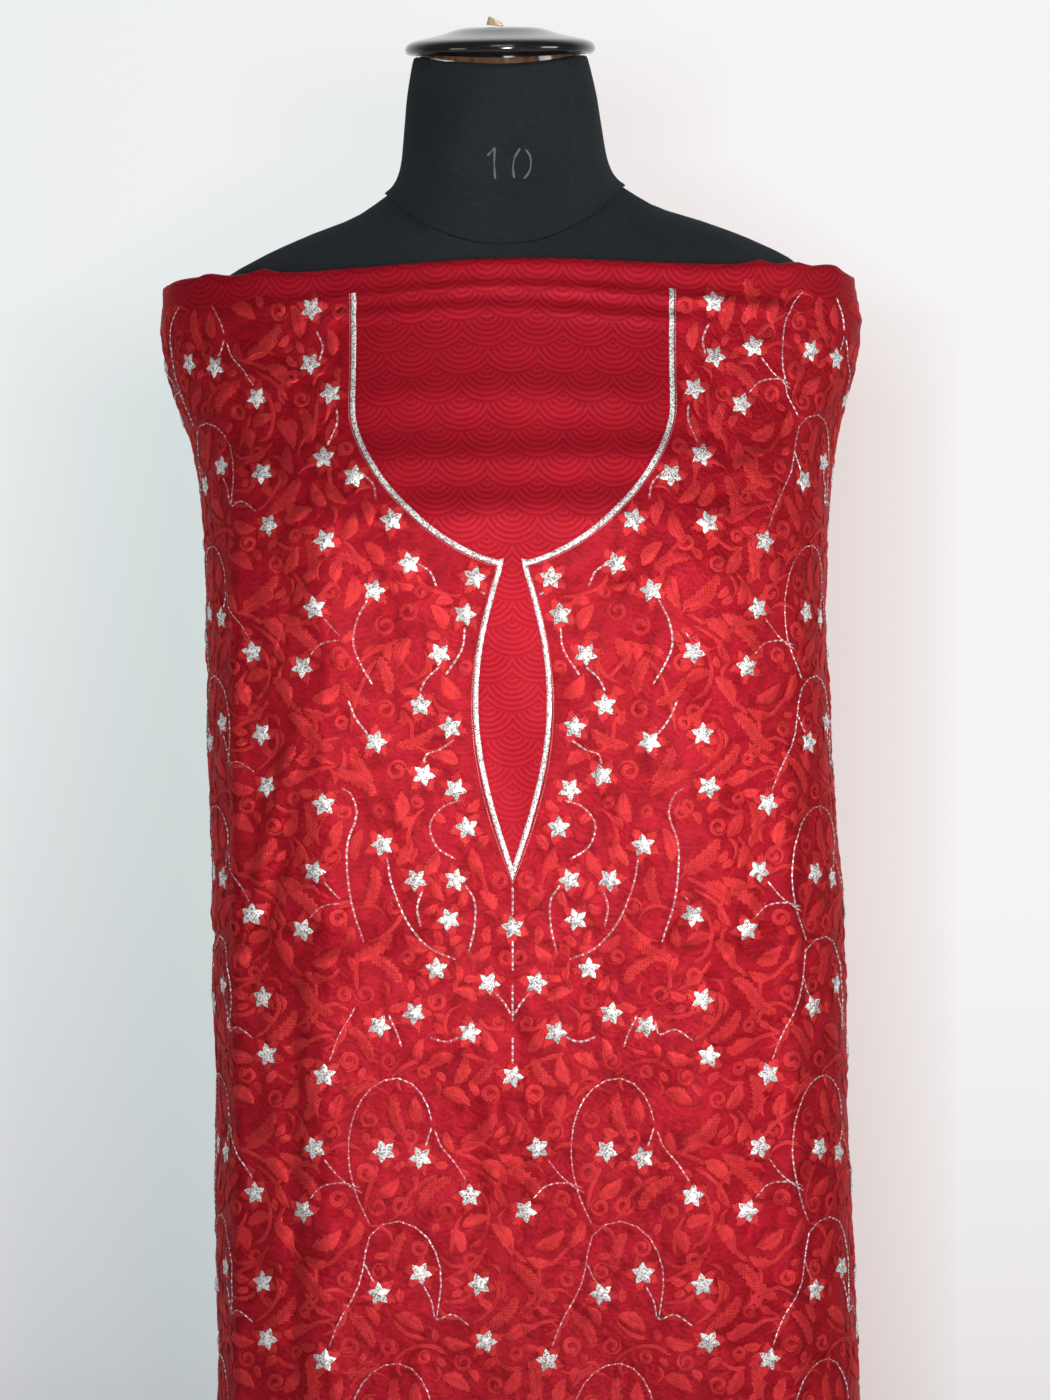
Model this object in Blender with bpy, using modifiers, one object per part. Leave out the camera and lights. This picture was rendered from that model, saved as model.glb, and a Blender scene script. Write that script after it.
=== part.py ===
"""A kameez length pinned round a dress form: an uncut suit cloth with a worked neckline, on its stand.

Metres, +Z up, origin at the middle of the base's underside, front towards -Y.
The cloth is one flat length, wrapped once round the form and lapped at the centre back.
A point of it is named by across, its place along the width from the centre front, and drop,
its distance below the top edge.
"""

import math
from collections import namedtuple

import bmesh
import bpy
import numpy as np
from mathutils import Vector

# The flat cloth.
CLOTH_WIDTH = 1.12
HEM_DROP = 1.19
TURN_IN = 0.05
CLOTH_THICKNESS = 0.0015
LAYER_PITCH = 0.004
TOP_Z = 1.3665
DESIGN_SHIFT = 0.0045

# The lap at the centre back.
LAP_LIFT_TOP = 0.0095
LAP_LIFT_LOW = 0.0050
LAP_RAMP = 0.040
LAP_PIN_DROPS = (0.07, 0.24, 0.44, 0.70)
LAP_PIN_INSET = 0.014

# The worked neckline and its keyhole.
BRAID_WIDTH = 0.0055
BRAID_THICKNESS = 0.0010
BRAID_CLEARANCE = 0.0014
BRAID_STEP = 0.006
NECK_HALF_WIDTH = 0.1015
NECK_TOP_DROP = 0.021
NECK_STRAIGHT_DROP = 0.095
NECK_LOW_DROP = 0.193
NECK_ROUNDNESS = 1.58
KEYHOLE_GAP = 0.0075
KEYHOLE_HALF_WIDTH = 0.0232
KEYHOLE_POINT_DROP = 0.387

# The form and its stand.
SEAM_GAP = 0.0003
SHOULDER_LIST = 0.035
TOP_LIST_SHARE = 0.35
LIST_PIVOT_Z = 1.40
BASE_RADIUS = 0.200
POLE_RADIUS = 0.016
POLE_FOOT_Z = 0.034
SOCKET_RADIUS = 0.045
SOCKET_HEIGHT = 0.030

COLUMN_STEPS = 56
RING_POINTS = 40
SECTION_SAMPLES = 720

# One level of the wrap: its half widths to -X and +X, its depths before and behind the pole, and
# how square its front is. What is left of the cloth's width laps over itself at the back.
ClothRow = namedtuple("ClothRow", "drop left right front back front_power")
CLOTH_ROWS = (
    ClothRow(0.000, 0.2225, 0.2255, 0.0860, 0.0980, 2.0),
    ClothRow(0.030, 0.2240, 0.2305, 0.0967, 0.0990, 2.1),
    ClothRow(0.060, 0.2195, 0.2270, 0.1073, 0.1000, 2.2),
    ClothRow(0.085, 0.2120, 0.2195, 0.1157, 0.1010, 2.4),
    ClothRow(0.110, 0.2035, 0.2140, 0.1240, 0.1025, 2.6),
    ClothRow(0.135, 0.1985, 0.2105, 0.1330, 0.1030, 3.1),
    ClothRow(0.165, 0.1950, 0.2070, 0.1430, 0.1030, 3.5),
    ClothRow(0.215, 0.1930, 0.2050, 0.1457, 0.1025, 3.9),
    ClothRow(0.310, 0.1905, 0.2095, 0.1435, 0.1015, 4.1),
    ClothRow(0.400, 0.1885, 0.2165, 0.1395, 0.1005, 4.1),
    ClothRow(0.540, 0.1860, 0.2205, 0.1355, 0.0990, 4.1),
    ClothRow(0.730, 0.1855, 0.2280, 0.1330, 0.0950, 4.0),
    ClothRow(0.950, 0.1870, 0.2310, 0.1330, 0.0900, 3.9),
    ClothRow(1.190, 0.1890, 0.2330, 0.1345, 0.0850, 3.8),
)
BACK_POWER = 2.1

# Troughs and ridges pulled level across the front, between the two shoulder corners.
FrontFold = namedtuple("FrontFold", "drop height half_width reach")
FRONT_FOLDS = (
    FrontFold(0.012, 0.0025, 0.009, 0.215),
    FrontFold(0.028, -0.0050, 0.005, 0.205),
    FrontFold(0.041, 0.0030, 0.008, 0.200),
    FrontFold(0.092, 0.0020, 0.009, 0.130),
    FrontFold(0.117, -0.0030, 0.011, 0.110),
    FrontFold(0.135, 0.0018, 0.008, 0.095),
    FrontFold(0.147, -0.0015, 0.007, 0.085),
)

# Creases and soft folds that run down the cloth, each standing out or sinking by height.
DownFold = namedtuple("DownFold", "across start_drop height half_width")
DOWN_FOLDS = (
    DownFold(-0.180, 0.16, 0.0030, 0.013),
    DownFold(0.180, 0.20, 0.0030, 0.013),
    DownFold(-0.118, 0.15, 0.0036, 0.024),
    DownFold(0.155, 0.17, 0.0034, 0.024),
    DownFold(-0.300, 0.22, -0.0040, 0.030),
    DownFold(0.310, 0.25, -0.0035, 0.028),
    DownFold(0.400, 0.30, 0.0040, 0.035),
    DownFold(-0.410, 0.30, 0.0040, 0.035),
)
FOLD_FADE = 0.12

# Drops at which the outer layer has a row of points, close together over the front folds.
ROW_DROPS = (
    0.002, 0.012, 0.022, 0.028, 0.034, 0.041, 0.060, 0.080, 0.092, 0.104, 0.117, 0.135, 0.147,
    0.165, 0.185, 0.215, 0.260, 0.320, 0.400, 0.470, 0.540, 0.630, 0.730, 0.840, 0.950, 1.070,
    HEM_DROP,
)
TURN_IN_DROPS = (TURN_IN, 0.026, 0.002)

# Each ring of the form passes through a side height, a front height and a back height.
FormRing = namedtuple("FormRing", "side_z front_z back_z half_width front back bend", defaults=(2,))
TORSO_RINGS = (
    FormRing(1.4195, 1.3800, 1.4480, 0.0765, 0.0704, 0.0628),
    FormRing(1.4060, 1.3660, 1.4330, 0.0980, 0.0745, 0.0690),
    FormRing(1.3950, 1.3500, 1.4150, 0.1290, 0.0800, 0.0750),
    FormRing(1.3812, 1.3300, 1.3930, 0.1620, 0.0870, 0.0810),
    FormRing(1.3642, 1.3060, 1.3680, 0.1900, 0.0960, 0.0855),
    FormRing(1.3360, 1.2760, 1.3380, 0.2060, 0.1050, 0.0880),
    FormRing(1.2960, 1.2420, 1.2960, 0.2000, 0.1150, 0.0890),
    FormRing(1.2450, 1.2100, 1.2450, 0.1790, 0.1230, 0.0910),
    FormRing(1.1800, 1.1720, 1.1820, 0.1640, 0.1280, 0.0910),
    FormRing(1.1100, 1.1100, 1.1150, 0.1460, 0.1090, 0.0850),
    FormRing(1.0100, 1.0100, 1.0100, 0.1240, 0.0920, 0.0750),
    FormRing(0.9200, 0.9200, 0.9200, 0.1460, 0.1030, 0.0860),
    FormRing(0.8300, 0.8300, 0.8300, 0.1640, 0.1090, 0.0920),
    FormRing(0.7600, 0.7600, 0.7600, 0.1620, 0.1050, 0.0890),
    FormRing(0.7380, 0.7380, 0.7380, 0.1540, 0.0970, 0.0810),
    FormRing(0.7320, 0.7320, 0.7320, 0.1400, 0.0830, 0.0680),
)
NECK_RINGS = (
    FormRing(1.5068, 1.4966, 1.5095, 0.0550, 0.0535, 0.0520),
    FormRing(1.5042, 1.4935, 1.5078, 0.0570, 0.0555, 0.0540),
    FormRing(1.4827, 1.4720, 1.4900, 0.0614, 0.0595, 0.0575),
    FormRing(1.4620, 1.4490, 1.4730, 0.0640, 0.0615, 0.0585),
    FormRing(1.4410, 1.4200, 1.4590, 0.0667, 0.0640, 0.0590),
    FormRing(1.4306, 1.4020, 1.4530, 0.0698, 0.0665, 0.0600),
    FormRing(1.4245, 1.3900, 1.4500, 0.0738, 0.0690, 0.0615),
    FormRing(1.4209, 1.3820, 1.4492, 0.0782, 0.0716, 0.0640),
    FormRing(1.4198, 1.3803, 1.4483, 0.0765, 0.0704, 0.0628),
)
COLLAR_RINGS = (
    FormRing(1.5103, 1.5058, 1.5148, 0.0515, 0.0515, 0.0515, 1),
    FormRing(1.5071, 1.4978, 1.5097, 0.0525, 0.0516, 0.0505),
)

TurnPoint = namedtuple("TurnPoint", "radius height")
CAP_PROFILE = (
    TurnPoint(0.0000, 0.0175),
    TurnPoint(0.0220, 0.0175),
    TurnPoint(0.0285, 0.0163),
    TurnPoint(0.0380, 0.0133),
    TurnPoint(0.0500, 0.0104),
    TurnPoint(0.0580, 0.0082),
    TurnPoint(0.0612, 0.0062),
    TurnPoint(0.0622, 0.0035),
    TurnPoint(0.0610, 0.0002),
    TurnPoint(0.0570, -0.0007),
    TurnPoint(0.0530, 0.0020),
    TurnPoint(0.0000, 0.0020),
)
CAP_Z = 1.5087
CAP_PITCH = math.radians(5)
PEG_PROFILE = (
    TurnPoint(0.0000, 0.0045),
    TurnPoint(0.0046, 0.0045),
    TurnPoint(0.0058, 0.0000),
    TurnPoint(0.0000, 0.0000),
)
PEG_TIP_SLANT = math.radians(6)
PEG_SHIFT = -0.0025
PEG_LIFT = 0.0011
BASE_PROFILE = (
    TurnPoint(0.0000, 0.0335),
    TurnPoint(0.0300, 0.0335),
    TurnPoint(0.0340, 0.0290),
    TurnPoint(0.0420, 0.0190),
    TurnPoint(0.1200, 0.0140),
    TurnPoint(0.1900, 0.0100),
    TurnPoint(BASE_RADIUS, 0.0060),
    TurnPoint(BASE_RADIUS, 0.0000),
    TurnPoint(0.0000, 0.0000),
)
PIN_PROFILE = (
    TurnPoint(0.0000, 0.0020),
    TurnPoint(0.0015, 0.0013),
    TurnPoint(0.0020, 0.0000),
    TurnPoint(0.0015, -0.0013),
    TurnPoint(0.0005, -0.0020),
    TurnPoint(0.0005, -0.0280),
    TurnPoint(0.0000, -0.0290),
)

Finish = namedtuple("Finish", "colour roughness metallic")
FINISHES = {
    "crimson_cloth": Finish((0.45, 0.012, 0.030), 0.55, 0.0),
    "silver_braid": Finish((0.78, 0.76, 0.72), 0.35, 0.6),
    "black_jersey": Finish((0.022, 0.026, 0.030), 0.80, 0.0),
    "black_lacquer": Finish((0.012, 0.011, 0.011), 0.15, 0.0),
    "brown_varnish": Finish((0.16, 0.07, 0.025), 0.30, 0.0),
    "pale_wood": Finish((0.75, 0.50, 0.25), 0.50, 0.0),
    "black_steel": Finish((0.030, 0.030, 0.032), 0.45, 0.6),
    "pin_steel": Finish((0.75, 0.75, 0.76), 0.25, 1.0),
}


def clear_scene():
    """Removes what the scene starts with."""
    for obj in list(bpy.data.objects):
        bpy.data.objects.remove(obj, do_unlink=True)


def material(name):
    """The Principled material of one finish, made once."""
    found = bpy.data.materials.get(name)
    if found:
        return found
    finish = FINISHES[name]
    made = bpy.data.materials.new(name)
    made.use_nodes = True
    shader = made.node_tree.nodes["Principled BSDF"]
    shader.inputs["Base Color"].default_value = (*finish.colour, 1.0)
    shader.inputs["Roughness"].default_value = finish.roughness
    shader.inputs["Metallic"].default_value = finish.metallic
    return made


def add_mesh(name, builder, finish, collection):
    """A new mesh object from a bmesh, shaded smooth, in the object's collection."""
    mesh = bpy.data.meshes.new(name)
    builder.to_mesh(mesh)
    builder.free()
    mesh.materials.append(material(finish))
    mesh.shade_smooth()
    mesh.set_sharp_from_angle(angle=math.radians(40))
    obj = bpy.data.objects.new(name, mesh)
    collection.objects.link(obj)
    return obj


def smooth_step(low, high, value):
    """0 below low, 1 above high, and smooth between."""
    share = min(1.0, max(0.0, (value - low) / (high - low)))
    return share * share * (3 - 2 * share)


def bump(distance, half_width):
    """1 at no distance, falling away smoothly over the half width."""
    return math.exp(-((distance / half_width) ** 2))


# The cloth's surface.


def cloth_row(drop):
    """The section's sizes at a drop, smoothly between the rows of the table."""
    below = next((i for i, row in enumerate(CLOTH_ROWS) if row.drop > drop), len(CLOTH_ROWS) - 1)
    below = max(1, below)
    low, high = CLOTH_ROWS[below - 1], CLOTH_ROWS[below]
    share = min(1.0, max(0.0, (drop - low.drop) / (high.drop - low.drop)))
    return ClothRow(*(a + (b - a) * share for a, b in zip(low, high)))


def section(row):
    """The closed section as points from the centre back, round by -X, the front and +X.

    Returns the points, and the length along them from the centre front, less than 0 at -X.
    """
    turn = np.linspace(-math.pi, math.pi, 2 * SECTION_SAMPLES + 1)
    sine, cosine = np.sin(turn), np.cos(turn)
    side = np.where(sine < 0, row.left, row.right)
    depth = np.where(cosine > 0, row.front, row.back)
    power = BACK_POWER + (row.front_power - BACK_POWER) * np.clip(cosine * 2 + 0.5, 0, 1)
    radius = ((np.abs(sine) / side) ** power + (np.abs(cosine) / depth) ** power) ** (-1 / power)
    points = np.stack([radius * sine, -radius * cosine], axis=1)
    steps = np.linalg.norm(np.diff(points, axis=0), axis=1)
    along = np.concatenate([[0.0], np.cumsum(steps)])
    return points, along - along[SECTION_SAMPLES]


def lap_lift(across, drop, girth):
    """How far the upper layer of the lap stands off the section."""
    lift = LAP_LIFT_TOP + (LAP_LIFT_LOW - LAP_LIFT_TOP) * smooth_step(TURN_IN, 0.14, drop)
    edge_below = girth - CLOTH_WIDTH / 2
    return lift * smooth_step(edge_below - LAP_RAMP, edge_below - 0.006, across)


def fold_height(across, drop):
    """How far the folds lift the cloth off its section."""
    height = 0.0
    for fold in FRONT_FOLDS:
        fade = 1 - smooth_step(fold.reach * 0.6, fold.reach, abs(across))
        height += fold.height * fade * bump(drop - fold.drop, fold.half_width)
    for fold in DOWN_FOLDS:
        fade = smooth_step(fold.start_drop, fold.start_drop + FOLD_FADE, drop)
        height += fold.height * fade * bump(across - fold.across, fold.half_width)
    return height


class Cloth:
    """The cloth's middle surface, as a place for each across and drop."""

    def __init__(self):
        self.sections = {}

    def at(self, across, drop, lift=0.0):
        """The point at across and drop, lift metres off the surface."""
        if drop not in self.sections:
            self.sections[drop] = section(cloth_row(drop))
        points, along = self.sections[drop]
        girth = along[-1] - along[0]
        place = across + DESIGN_SHIFT
        wrapped = (place - along[0]) % girth + along[0]
        x = np.interp(wrapped, along, points[:, 0])
        y = np.interp(wrapped, along, points[:, 1])
        ahead = min(wrapped + 0.004, along[-1])
        behind = max(wrapped - 0.004, along[0])
        run = np.array([np.interp(ahead, along, points[:, k]) for k in (0, 1)])
        run -= np.array([np.interp(behind, along, points[:, k]) for k in (0, 1)])
        outward = Vector((-run[1], run[0])).normalized() * -1
        off = lift + lap_lift(place, drop, girth) + fold_height(across, drop)
        z = TOP_Z - drop + edge_rise(x, y, drop)
        return Vector((x + outward.x * off, y + outward.y * off, z))


class ClothPanel:
    """The hanging layer as it is built, in flat facets between its columns and rows of points."""

    def __init__(self, cloth):
        self.columns = [CLOTH_WIDTH * (i / COLUMN_STEPS - 0.5) for i in range(COLUMN_STEPS + 1)]
        self.points = [[cloth.at(s, drop) for s in self.columns] for drop in ROW_DROPS]

    def at(self, across, drop, lift=0.0):
        """The point of the facets at across and drop, lift metres off them."""
        column = min(COLUMN_STEPS - 1, int((across / CLOTH_WIDTH + 0.5) * COLUMN_STEPS))
        row = max(0, min(len(ROW_DROPS) - 2, sum(drop >= level for level in ROW_DROPS) - 1))
        u = (across - self.columns[column]) * COLUMN_STEPS / CLOTH_WIDTH
        v = (drop - ROW_DROPS[row]) / (ROW_DROPS[row + 1] - ROW_DROPS[row])
        a, b = self.points[row][column], self.points[row][column + 1]
        c, d = self.points[row + 1][column], self.points[row + 1][column + 1]
        upper, lower = a.lerp(b, u), c.lerp(d, u)
        outward = (b.lerp(d, v) - a.lerp(c, v)).cross(upper - lower).normalized()
        return upper.lerp(lower, v) + outward * lift


def edge_rise(x, y, drop):
    """The top edge peaks at the middle, and falls away round the two stiff corners."""
    reach = -x - 0.006 if x < 0 else x
    corner = smooth_step(0.205, 0.224, reach) + 0.5 * smooth_step(-0.02, 0.08, y)
    shape = 0.006 * bump(x, 0.09) + 0.020 * x - 0.0015 - 0.005 * corner
    return shape * (1 - smooth_step(0.03, 0.20, drop))


def sheet_mesh(rows):
    """An open sheet through equal rows of points, as a bmesh."""
    builder = bmesh.new()
    grid = [[builder.verts.new(point) for point in row] for row in rows]
    for upper, lower in zip(grid, grid[1:]):
        for i in range(len(upper) - 1):
            builder.faces.new((upper[i], lower[i], lower[i + 1], upper[i + 1]))
    bmesh.ops.recalc_face_normals(builder, faces=builder.faces)
    return builder


def add_wall(obj, thickness, offset):
    """Gives an open sheet its thickness. Offset 0 keeps the sheet in the middle of the wall."""
    wall = obj.modifiers.new("wall", "SOLIDIFY")
    wall.thickness = thickness
    wall.offset = offset
    wall.use_even_offset = True


def face_outwards(builder, from_point):
    """Turns an open sheet's faces so that they look away from a point inside it."""
    total = sum((f.calc_center_median() - from_point).dot(f.normal) * f.calc_area() for f in builder.faces)
    if total < 0:
        bmesh.ops.reverse_faces(builder, faces=builder.faces)


def build_cloth(cloth, panel, collection):
    """The kameez length: its turned-in top, the fold and the hanging layer, as one sheet."""
    rows = [[cloth.at(s, drop, -LAYER_PITCH) for s in panel.columns] for drop in TURN_IN_DROPS]
    rows.append([cloth.at(s, 0.0, -LAYER_PITCH / 2) for s in panel.columns])
    builder = sheet_mesh(rows + panel.points)
    face_outwards(builder, Vector((0, 0, TOP_Z - HEM_DROP / 2)))
    obj = add_mesh("kameez_length", builder, "crimson_cloth", collection)
    add_wall(obj, CLOTH_THICKNESS, 0.0)


# The neckline's braid.


def neckline_half():
    """Flat points of the braid's +X half, from its top end down to the keyhole's point."""
    points = []
    straight = [level for level in ROW_DROPS if NECK_TOP_DROP < level < NECK_STRAIGHT_DROP - 0.002]
    points += [(NECK_HALF_WIDTH, drop) for drop in [NECK_TOP_DROP] + straight]
    depth = NECK_LOW_DROP - NECK_STRAIGHT_DROP
    curve_steps = 34
    for i in range(curve_steps):
        turn = math.pi / 2 * i / curve_steps
        x = NECK_HALF_WIDTH * math.cos(turn) ** (2 / NECK_ROUNDNESS)
        if x > KEYHOLE_GAP + BRAID_STEP / 2:
            points.append((x, NECK_STRAIGHT_DROP + depth * math.sin(turn) ** (2 / NECK_ROUNDNESS)))
    points.append((KEYHOLE_GAP, NECK_LOW_DROP - 0.002))
    length = KEYHOLE_POINT_DROP - NECK_LOW_DROP
    keyhole_steps = round(length / BRAID_STEP)
    start = math.asin(KEYHOLE_GAP / KEYHOLE_HALF_WIDTH) / math.pi
    for i in range(1, keyhole_steps + 1):
        share = start + (1 - start) * i / keyhole_steps
        x = KEYHOLE_HALF_WIDTH * math.sin(math.pi * share) if i < keyhole_steps else 0.0
        points.append((x, NECK_LOW_DROP + length * i / keyhole_steps))
    return points


def braid_edges(path):
    """The path's two flat edges, half the braid's width to each side, mitred at the corners."""
    left, right = [], []
    for i, here in enumerate(path):
        before, after = path[max(i - 1, 0)], path[min(i + 1, len(path) - 1)]
        run_in = Vector((here[0] - before[0], here[1] - before[1]))
        run_out = Vector((after[0] - here[0], after[1] - here[1]))
        run_in = run_in.normalized() if run_in.length else run_out.normalized()
        run_out = run_out.normalized() if run_out.length else run_in
        across = (run_in + run_out).normalized().orthogonal()
        reach = BRAID_WIDTH / 2 / max(0.35, abs(across.dot(run_in.orthogonal())))
        left.append((here[0] + across.x * reach, here[1] + across.y * reach))
        right.append((here[0] - across.x * reach, here[1] - across.y * reach))
    return left, right


def build_braid(panel, collection):
    """The braid round the neck and the keyhole, lying on the cloth's outer face."""
    half = neckline_half()
    path = [(-x, drop) for x, drop in half] + [(x, drop) for x, drop in reversed(half[:-1])]
    lift = CLOTH_THICKNESS / 2 + BRAID_CLEARANCE
    left, right = braid_edges(path)
    rows = [[panel.at(x, drop, lift) for x, drop in pair] for pair in zip(left, right)]
    builder = sheet_mesh(rows)
    face_outwards(builder, Vector((0, 1, TOP_Z)))
    obj = add_mesh("neckline_braid", builder, "silver_braid", collection)
    add_wall(obj, BRAID_THICKNESS, 1.0)


# The form, its neck and the stand.


def listed(point):
    """The form lists a little at the shoulders: its +X side is higher and its neck leans to -X."""
    share = smooth_step(1.00, 1.30, point.z) * SHOULDER_LIST
    tilt = share * (1 - (1 - TOP_LIST_SHARE) * smooth_step(1.42, 1.50, point.z))
    return Vector((point.x - share * (point.z - LIST_PIVOT_Z), point.y, point.z + tilt * point.x))


def ring_points(ring, power=2.15):
    """The points of one ring of the form."""
    points = []
    for i in range(RING_POINTS):
        turn = math.tau * i / RING_POINTS
        sine, cosine = math.sin(turn), math.cos(turn)
        depth = ring.front if cosine > 0 else ring.back
        end_z = ring.front_z if cosine > 0 else ring.back_z
        radius = ((abs(sine) / ring.half_width) ** power + (abs(cosine) / depth) ** power) ** (-1 / power)
        share = abs(radius * cosine / depth) ** ring.bend
        z = ring.side_z + (end_z - ring.side_z) * share
        points.append(listed(Vector((radius * sine, -radius * cosine, z))))
    return points


def close_loop(builder, loop):
    """Closes a ring with level strips from one side to the other, so that a sloping end stays true."""
    half = RING_POINTS // 2
    for i in range(half):
        corners = (loop[i], loop[i + 1], loop[-i - 1], loop[-i % RING_POINTS])
        builder.faces.new(dict.fromkeys(corners))


def build_loft(name, rings, finish, collection):
    """A closed solid through the rings, from the top one down."""
    builder = bmesh.new()
    loops = [[builder.verts.new(point) for point in ring_points(ring)] for ring in rings]
    for upper, lower in zip(loops, loops[1:]):
        for i in range(RING_POINTS):
            j = (i + 1) % RING_POINTS
            builder.faces.new((upper[i], upper[j], lower[j], lower[i]))
    for loop in (loops[0], loops[-1]):
        close_loop(builder, loop)
    bmesh.ops.recalc_face_normals(builder, faces=builder.faces)
    return add_mesh(name, builder, finish, collection)


def build_turned(name, profile, steps, finish, collection):
    """A turned solid: the profile, top to bottom, swept round Z by a Screw modifier."""
    builder = bmesh.new()
    verts = [builder.verts.new((point.radius, 0, point.height)) for point in profile]
    for upper, lower in zip(verts, verts[1:]):
        builder.edges.new((upper, lower))
    obj = add_mesh(name, builder, finish, collection)
    turn = obj.modifiers.new("turn", "SCREW")
    turn.steps = steps
    turn.render_steps = steps
    turn.use_merge_vertices = True
    turn.merge_threshold = 0.00001
    turn.use_smooth_shade = True
    return obj


def build_form(collection):
    """The padded torso, its neck and the turned cap on top."""
    build_loft("form_torso", TORSO_RINGS, "black_jersey", collection)
    build_loft("form_neck", NECK_RINGS, "black_jersey", collection)
    build_loft("neck_collar", COLLAR_RINGS, "brown_varnish", collection)
    cap = build_turned("neck_cap", CAP_PROFILE, 40, "black_lacquer", collection)
    cap.location = listed(Vector((0, 0, CAP_Z)))
    cap.rotation_euler = (CAP_PITCH, -SHOULDER_LIST * TOP_LIST_SHARE, 0)
    peg = build_turned("cap_peg", PEG_PROFILE, 12, "pale_wood", collection)
    peg.location = listed(Vector((PEG_SHIFT, 0, CAP_Z + CAP_PROFILE[0].height + PEG_LIFT)))
    peg.rotation_euler = (CAP_PITCH, PEG_TIP_SLANT, 0)


def build_stand(collection):
    """The round base, the pole and the socket under the torso."""
    build_turned("stand_base", BASE_PROFILE, 48, "black_steel", collection)
    floor_of_torso = TORSO_RINGS[-1].side_z
    socket_z = floor_of_torso - SEAM_GAP - SOCKET_HEIGHT
    pole_top = socket_z - SEAM_GAP
    bpy.ops.mesh.primitive_cylinder_add(
        vertices=24, radius=POLE_RADIUS, depth=pole_top - POLE_FOOT_Z,
        location=(0, 0, (pole_top + POLE_FOOT_Z) / 2),
    )
    take_primitive("stand_pole", "black_steel", collection)
    bpy.ops.mesh.primitive_cylinder_add(
        vertices=24, radius=SOCKET_RADIUS, depth=SOCKET_HEIGHT,
        location=(0, 0, socket_z + SOCKET_HEIGHT / 2),
    )
    take_primitive("stand_socket", "black_steel", collection)


def take_primitive(name, finish, collection):
    """Names the primitive just added, gives it a finish and moves it to the collection."""
    obj = bpy.context.active_object
    obj.name = name
    obj.data.materials.append(material(finish))
    obj.data.shade_smooth()
    obj.data.set_sharp_from_angle(angle=math.radians(40))
    for old in list(obj.users_collection):
        old.objects.unlink(obj)
    collection.objects.link(obj)


def build_pins(panel, collection):
    """Pins that close the lap down the centre back, each with its shank along the upper layer."""
    lift = CLOTH_THICKNESS / 2 + SEAM_GAP + max(point.radius for point in PIN_PROFILE)
    for number, drop in enumerate(LAP_PIN_DROPS, start=1):
        pin = build_turned(f"lap_pin_{number}", PIN_PROFILE, 10, "pin_steel", collection)
        head = panel.at(CLOTH_WIDTH / 2 - LAP_PIN_INSET, drop, lift)
        tip = panel.at(CLOTH_WIDTH / 2 - LAP_PIN_INSET - 0.02, drop, lift)
        pin.location = head
        pin.rotation_mode = "QUATERNION"
        pin.rotation_quaternion = (tip - head).to_track_quat("-Z", "Y")


def main():
    """Builds the whole object in its own collection."""
    clear_scene()
    collection = bpy.data.collections.new("kameez_on_dress_form")
    bpy.context.scene.collection.children.link(collection)
    layer = bpy.context.view_layer.layer_collection.children[collection.name]
    bpy.context.view_layer.active_layer_collection = layer
    cloth = Cloth()
    panel = ClothPanel(cloth)
    build_cloth(cloth, panel, collection)
    build_braid(panel, collection)
    build_pins(panel, collection)
    build_form(collection)
    build_stand(collection)
    for drop in (0.0, 0.03, 0.11, 0.215, 0.54, 0.95, 1.19):
        _, along = section(cloth_row(drop))
        print("girth at drop", drop, round(along[-1] - along[0], 4))


main()
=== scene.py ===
"""A kameez length from a salwar kameez suit, pinned round a black dress form.

The cloth is a crimson self-patterned length with a worked neckline: red satin leaves, silver stars
and silver stems. It is one flat length, wrapped once round the form and lapped at the centre back.
Metres, +Z up, front towards -Y. A place on the cloth is named by across, its distance from the
centre front, and drop, its distance below the top edge.
"""

from __future__ import annotations

import logging
import math
from dataclasses import astuple, dataclass, field, replace
from enum import Enum
from typing import Callable, Iterable, Sequence

import bmesh
import bpy
import numpy as np
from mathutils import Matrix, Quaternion, Vector
from mathutils.bvhtree import BVHTree


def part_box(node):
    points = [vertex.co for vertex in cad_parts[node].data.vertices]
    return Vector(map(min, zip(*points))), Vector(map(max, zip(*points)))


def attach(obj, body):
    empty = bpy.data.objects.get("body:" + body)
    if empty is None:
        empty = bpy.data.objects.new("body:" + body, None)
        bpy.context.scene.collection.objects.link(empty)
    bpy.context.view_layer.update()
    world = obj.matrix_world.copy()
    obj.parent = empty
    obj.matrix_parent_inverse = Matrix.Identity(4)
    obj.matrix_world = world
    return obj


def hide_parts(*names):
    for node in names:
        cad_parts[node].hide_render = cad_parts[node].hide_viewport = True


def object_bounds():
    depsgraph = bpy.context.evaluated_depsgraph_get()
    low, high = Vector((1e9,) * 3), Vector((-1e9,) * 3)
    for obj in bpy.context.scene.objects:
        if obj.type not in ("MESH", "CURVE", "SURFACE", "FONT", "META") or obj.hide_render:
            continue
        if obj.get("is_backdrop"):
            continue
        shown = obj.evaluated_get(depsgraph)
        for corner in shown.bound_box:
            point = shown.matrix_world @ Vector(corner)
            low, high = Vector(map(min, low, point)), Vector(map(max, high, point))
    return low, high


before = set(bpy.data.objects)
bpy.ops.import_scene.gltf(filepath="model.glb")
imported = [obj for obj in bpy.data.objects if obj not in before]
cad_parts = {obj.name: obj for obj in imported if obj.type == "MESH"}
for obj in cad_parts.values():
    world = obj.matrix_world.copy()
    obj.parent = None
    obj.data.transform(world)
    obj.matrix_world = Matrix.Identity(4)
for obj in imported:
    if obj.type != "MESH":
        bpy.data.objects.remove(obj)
LOG = logging.getLogger("kameez")
MM = 0.001

Material = bpy.types.Material
Mesh = bpy.types.Mesh
Piece = bpy.types.Object
Builder = bmesh.types.BMesh
Array = np.ndarray
Colour = tuple[float, float, float]
Point = tuple[float, float, float]
Place = tuple[float, float]
Path = tuple[Place, ...]

# ---- Shader maths ----


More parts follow.
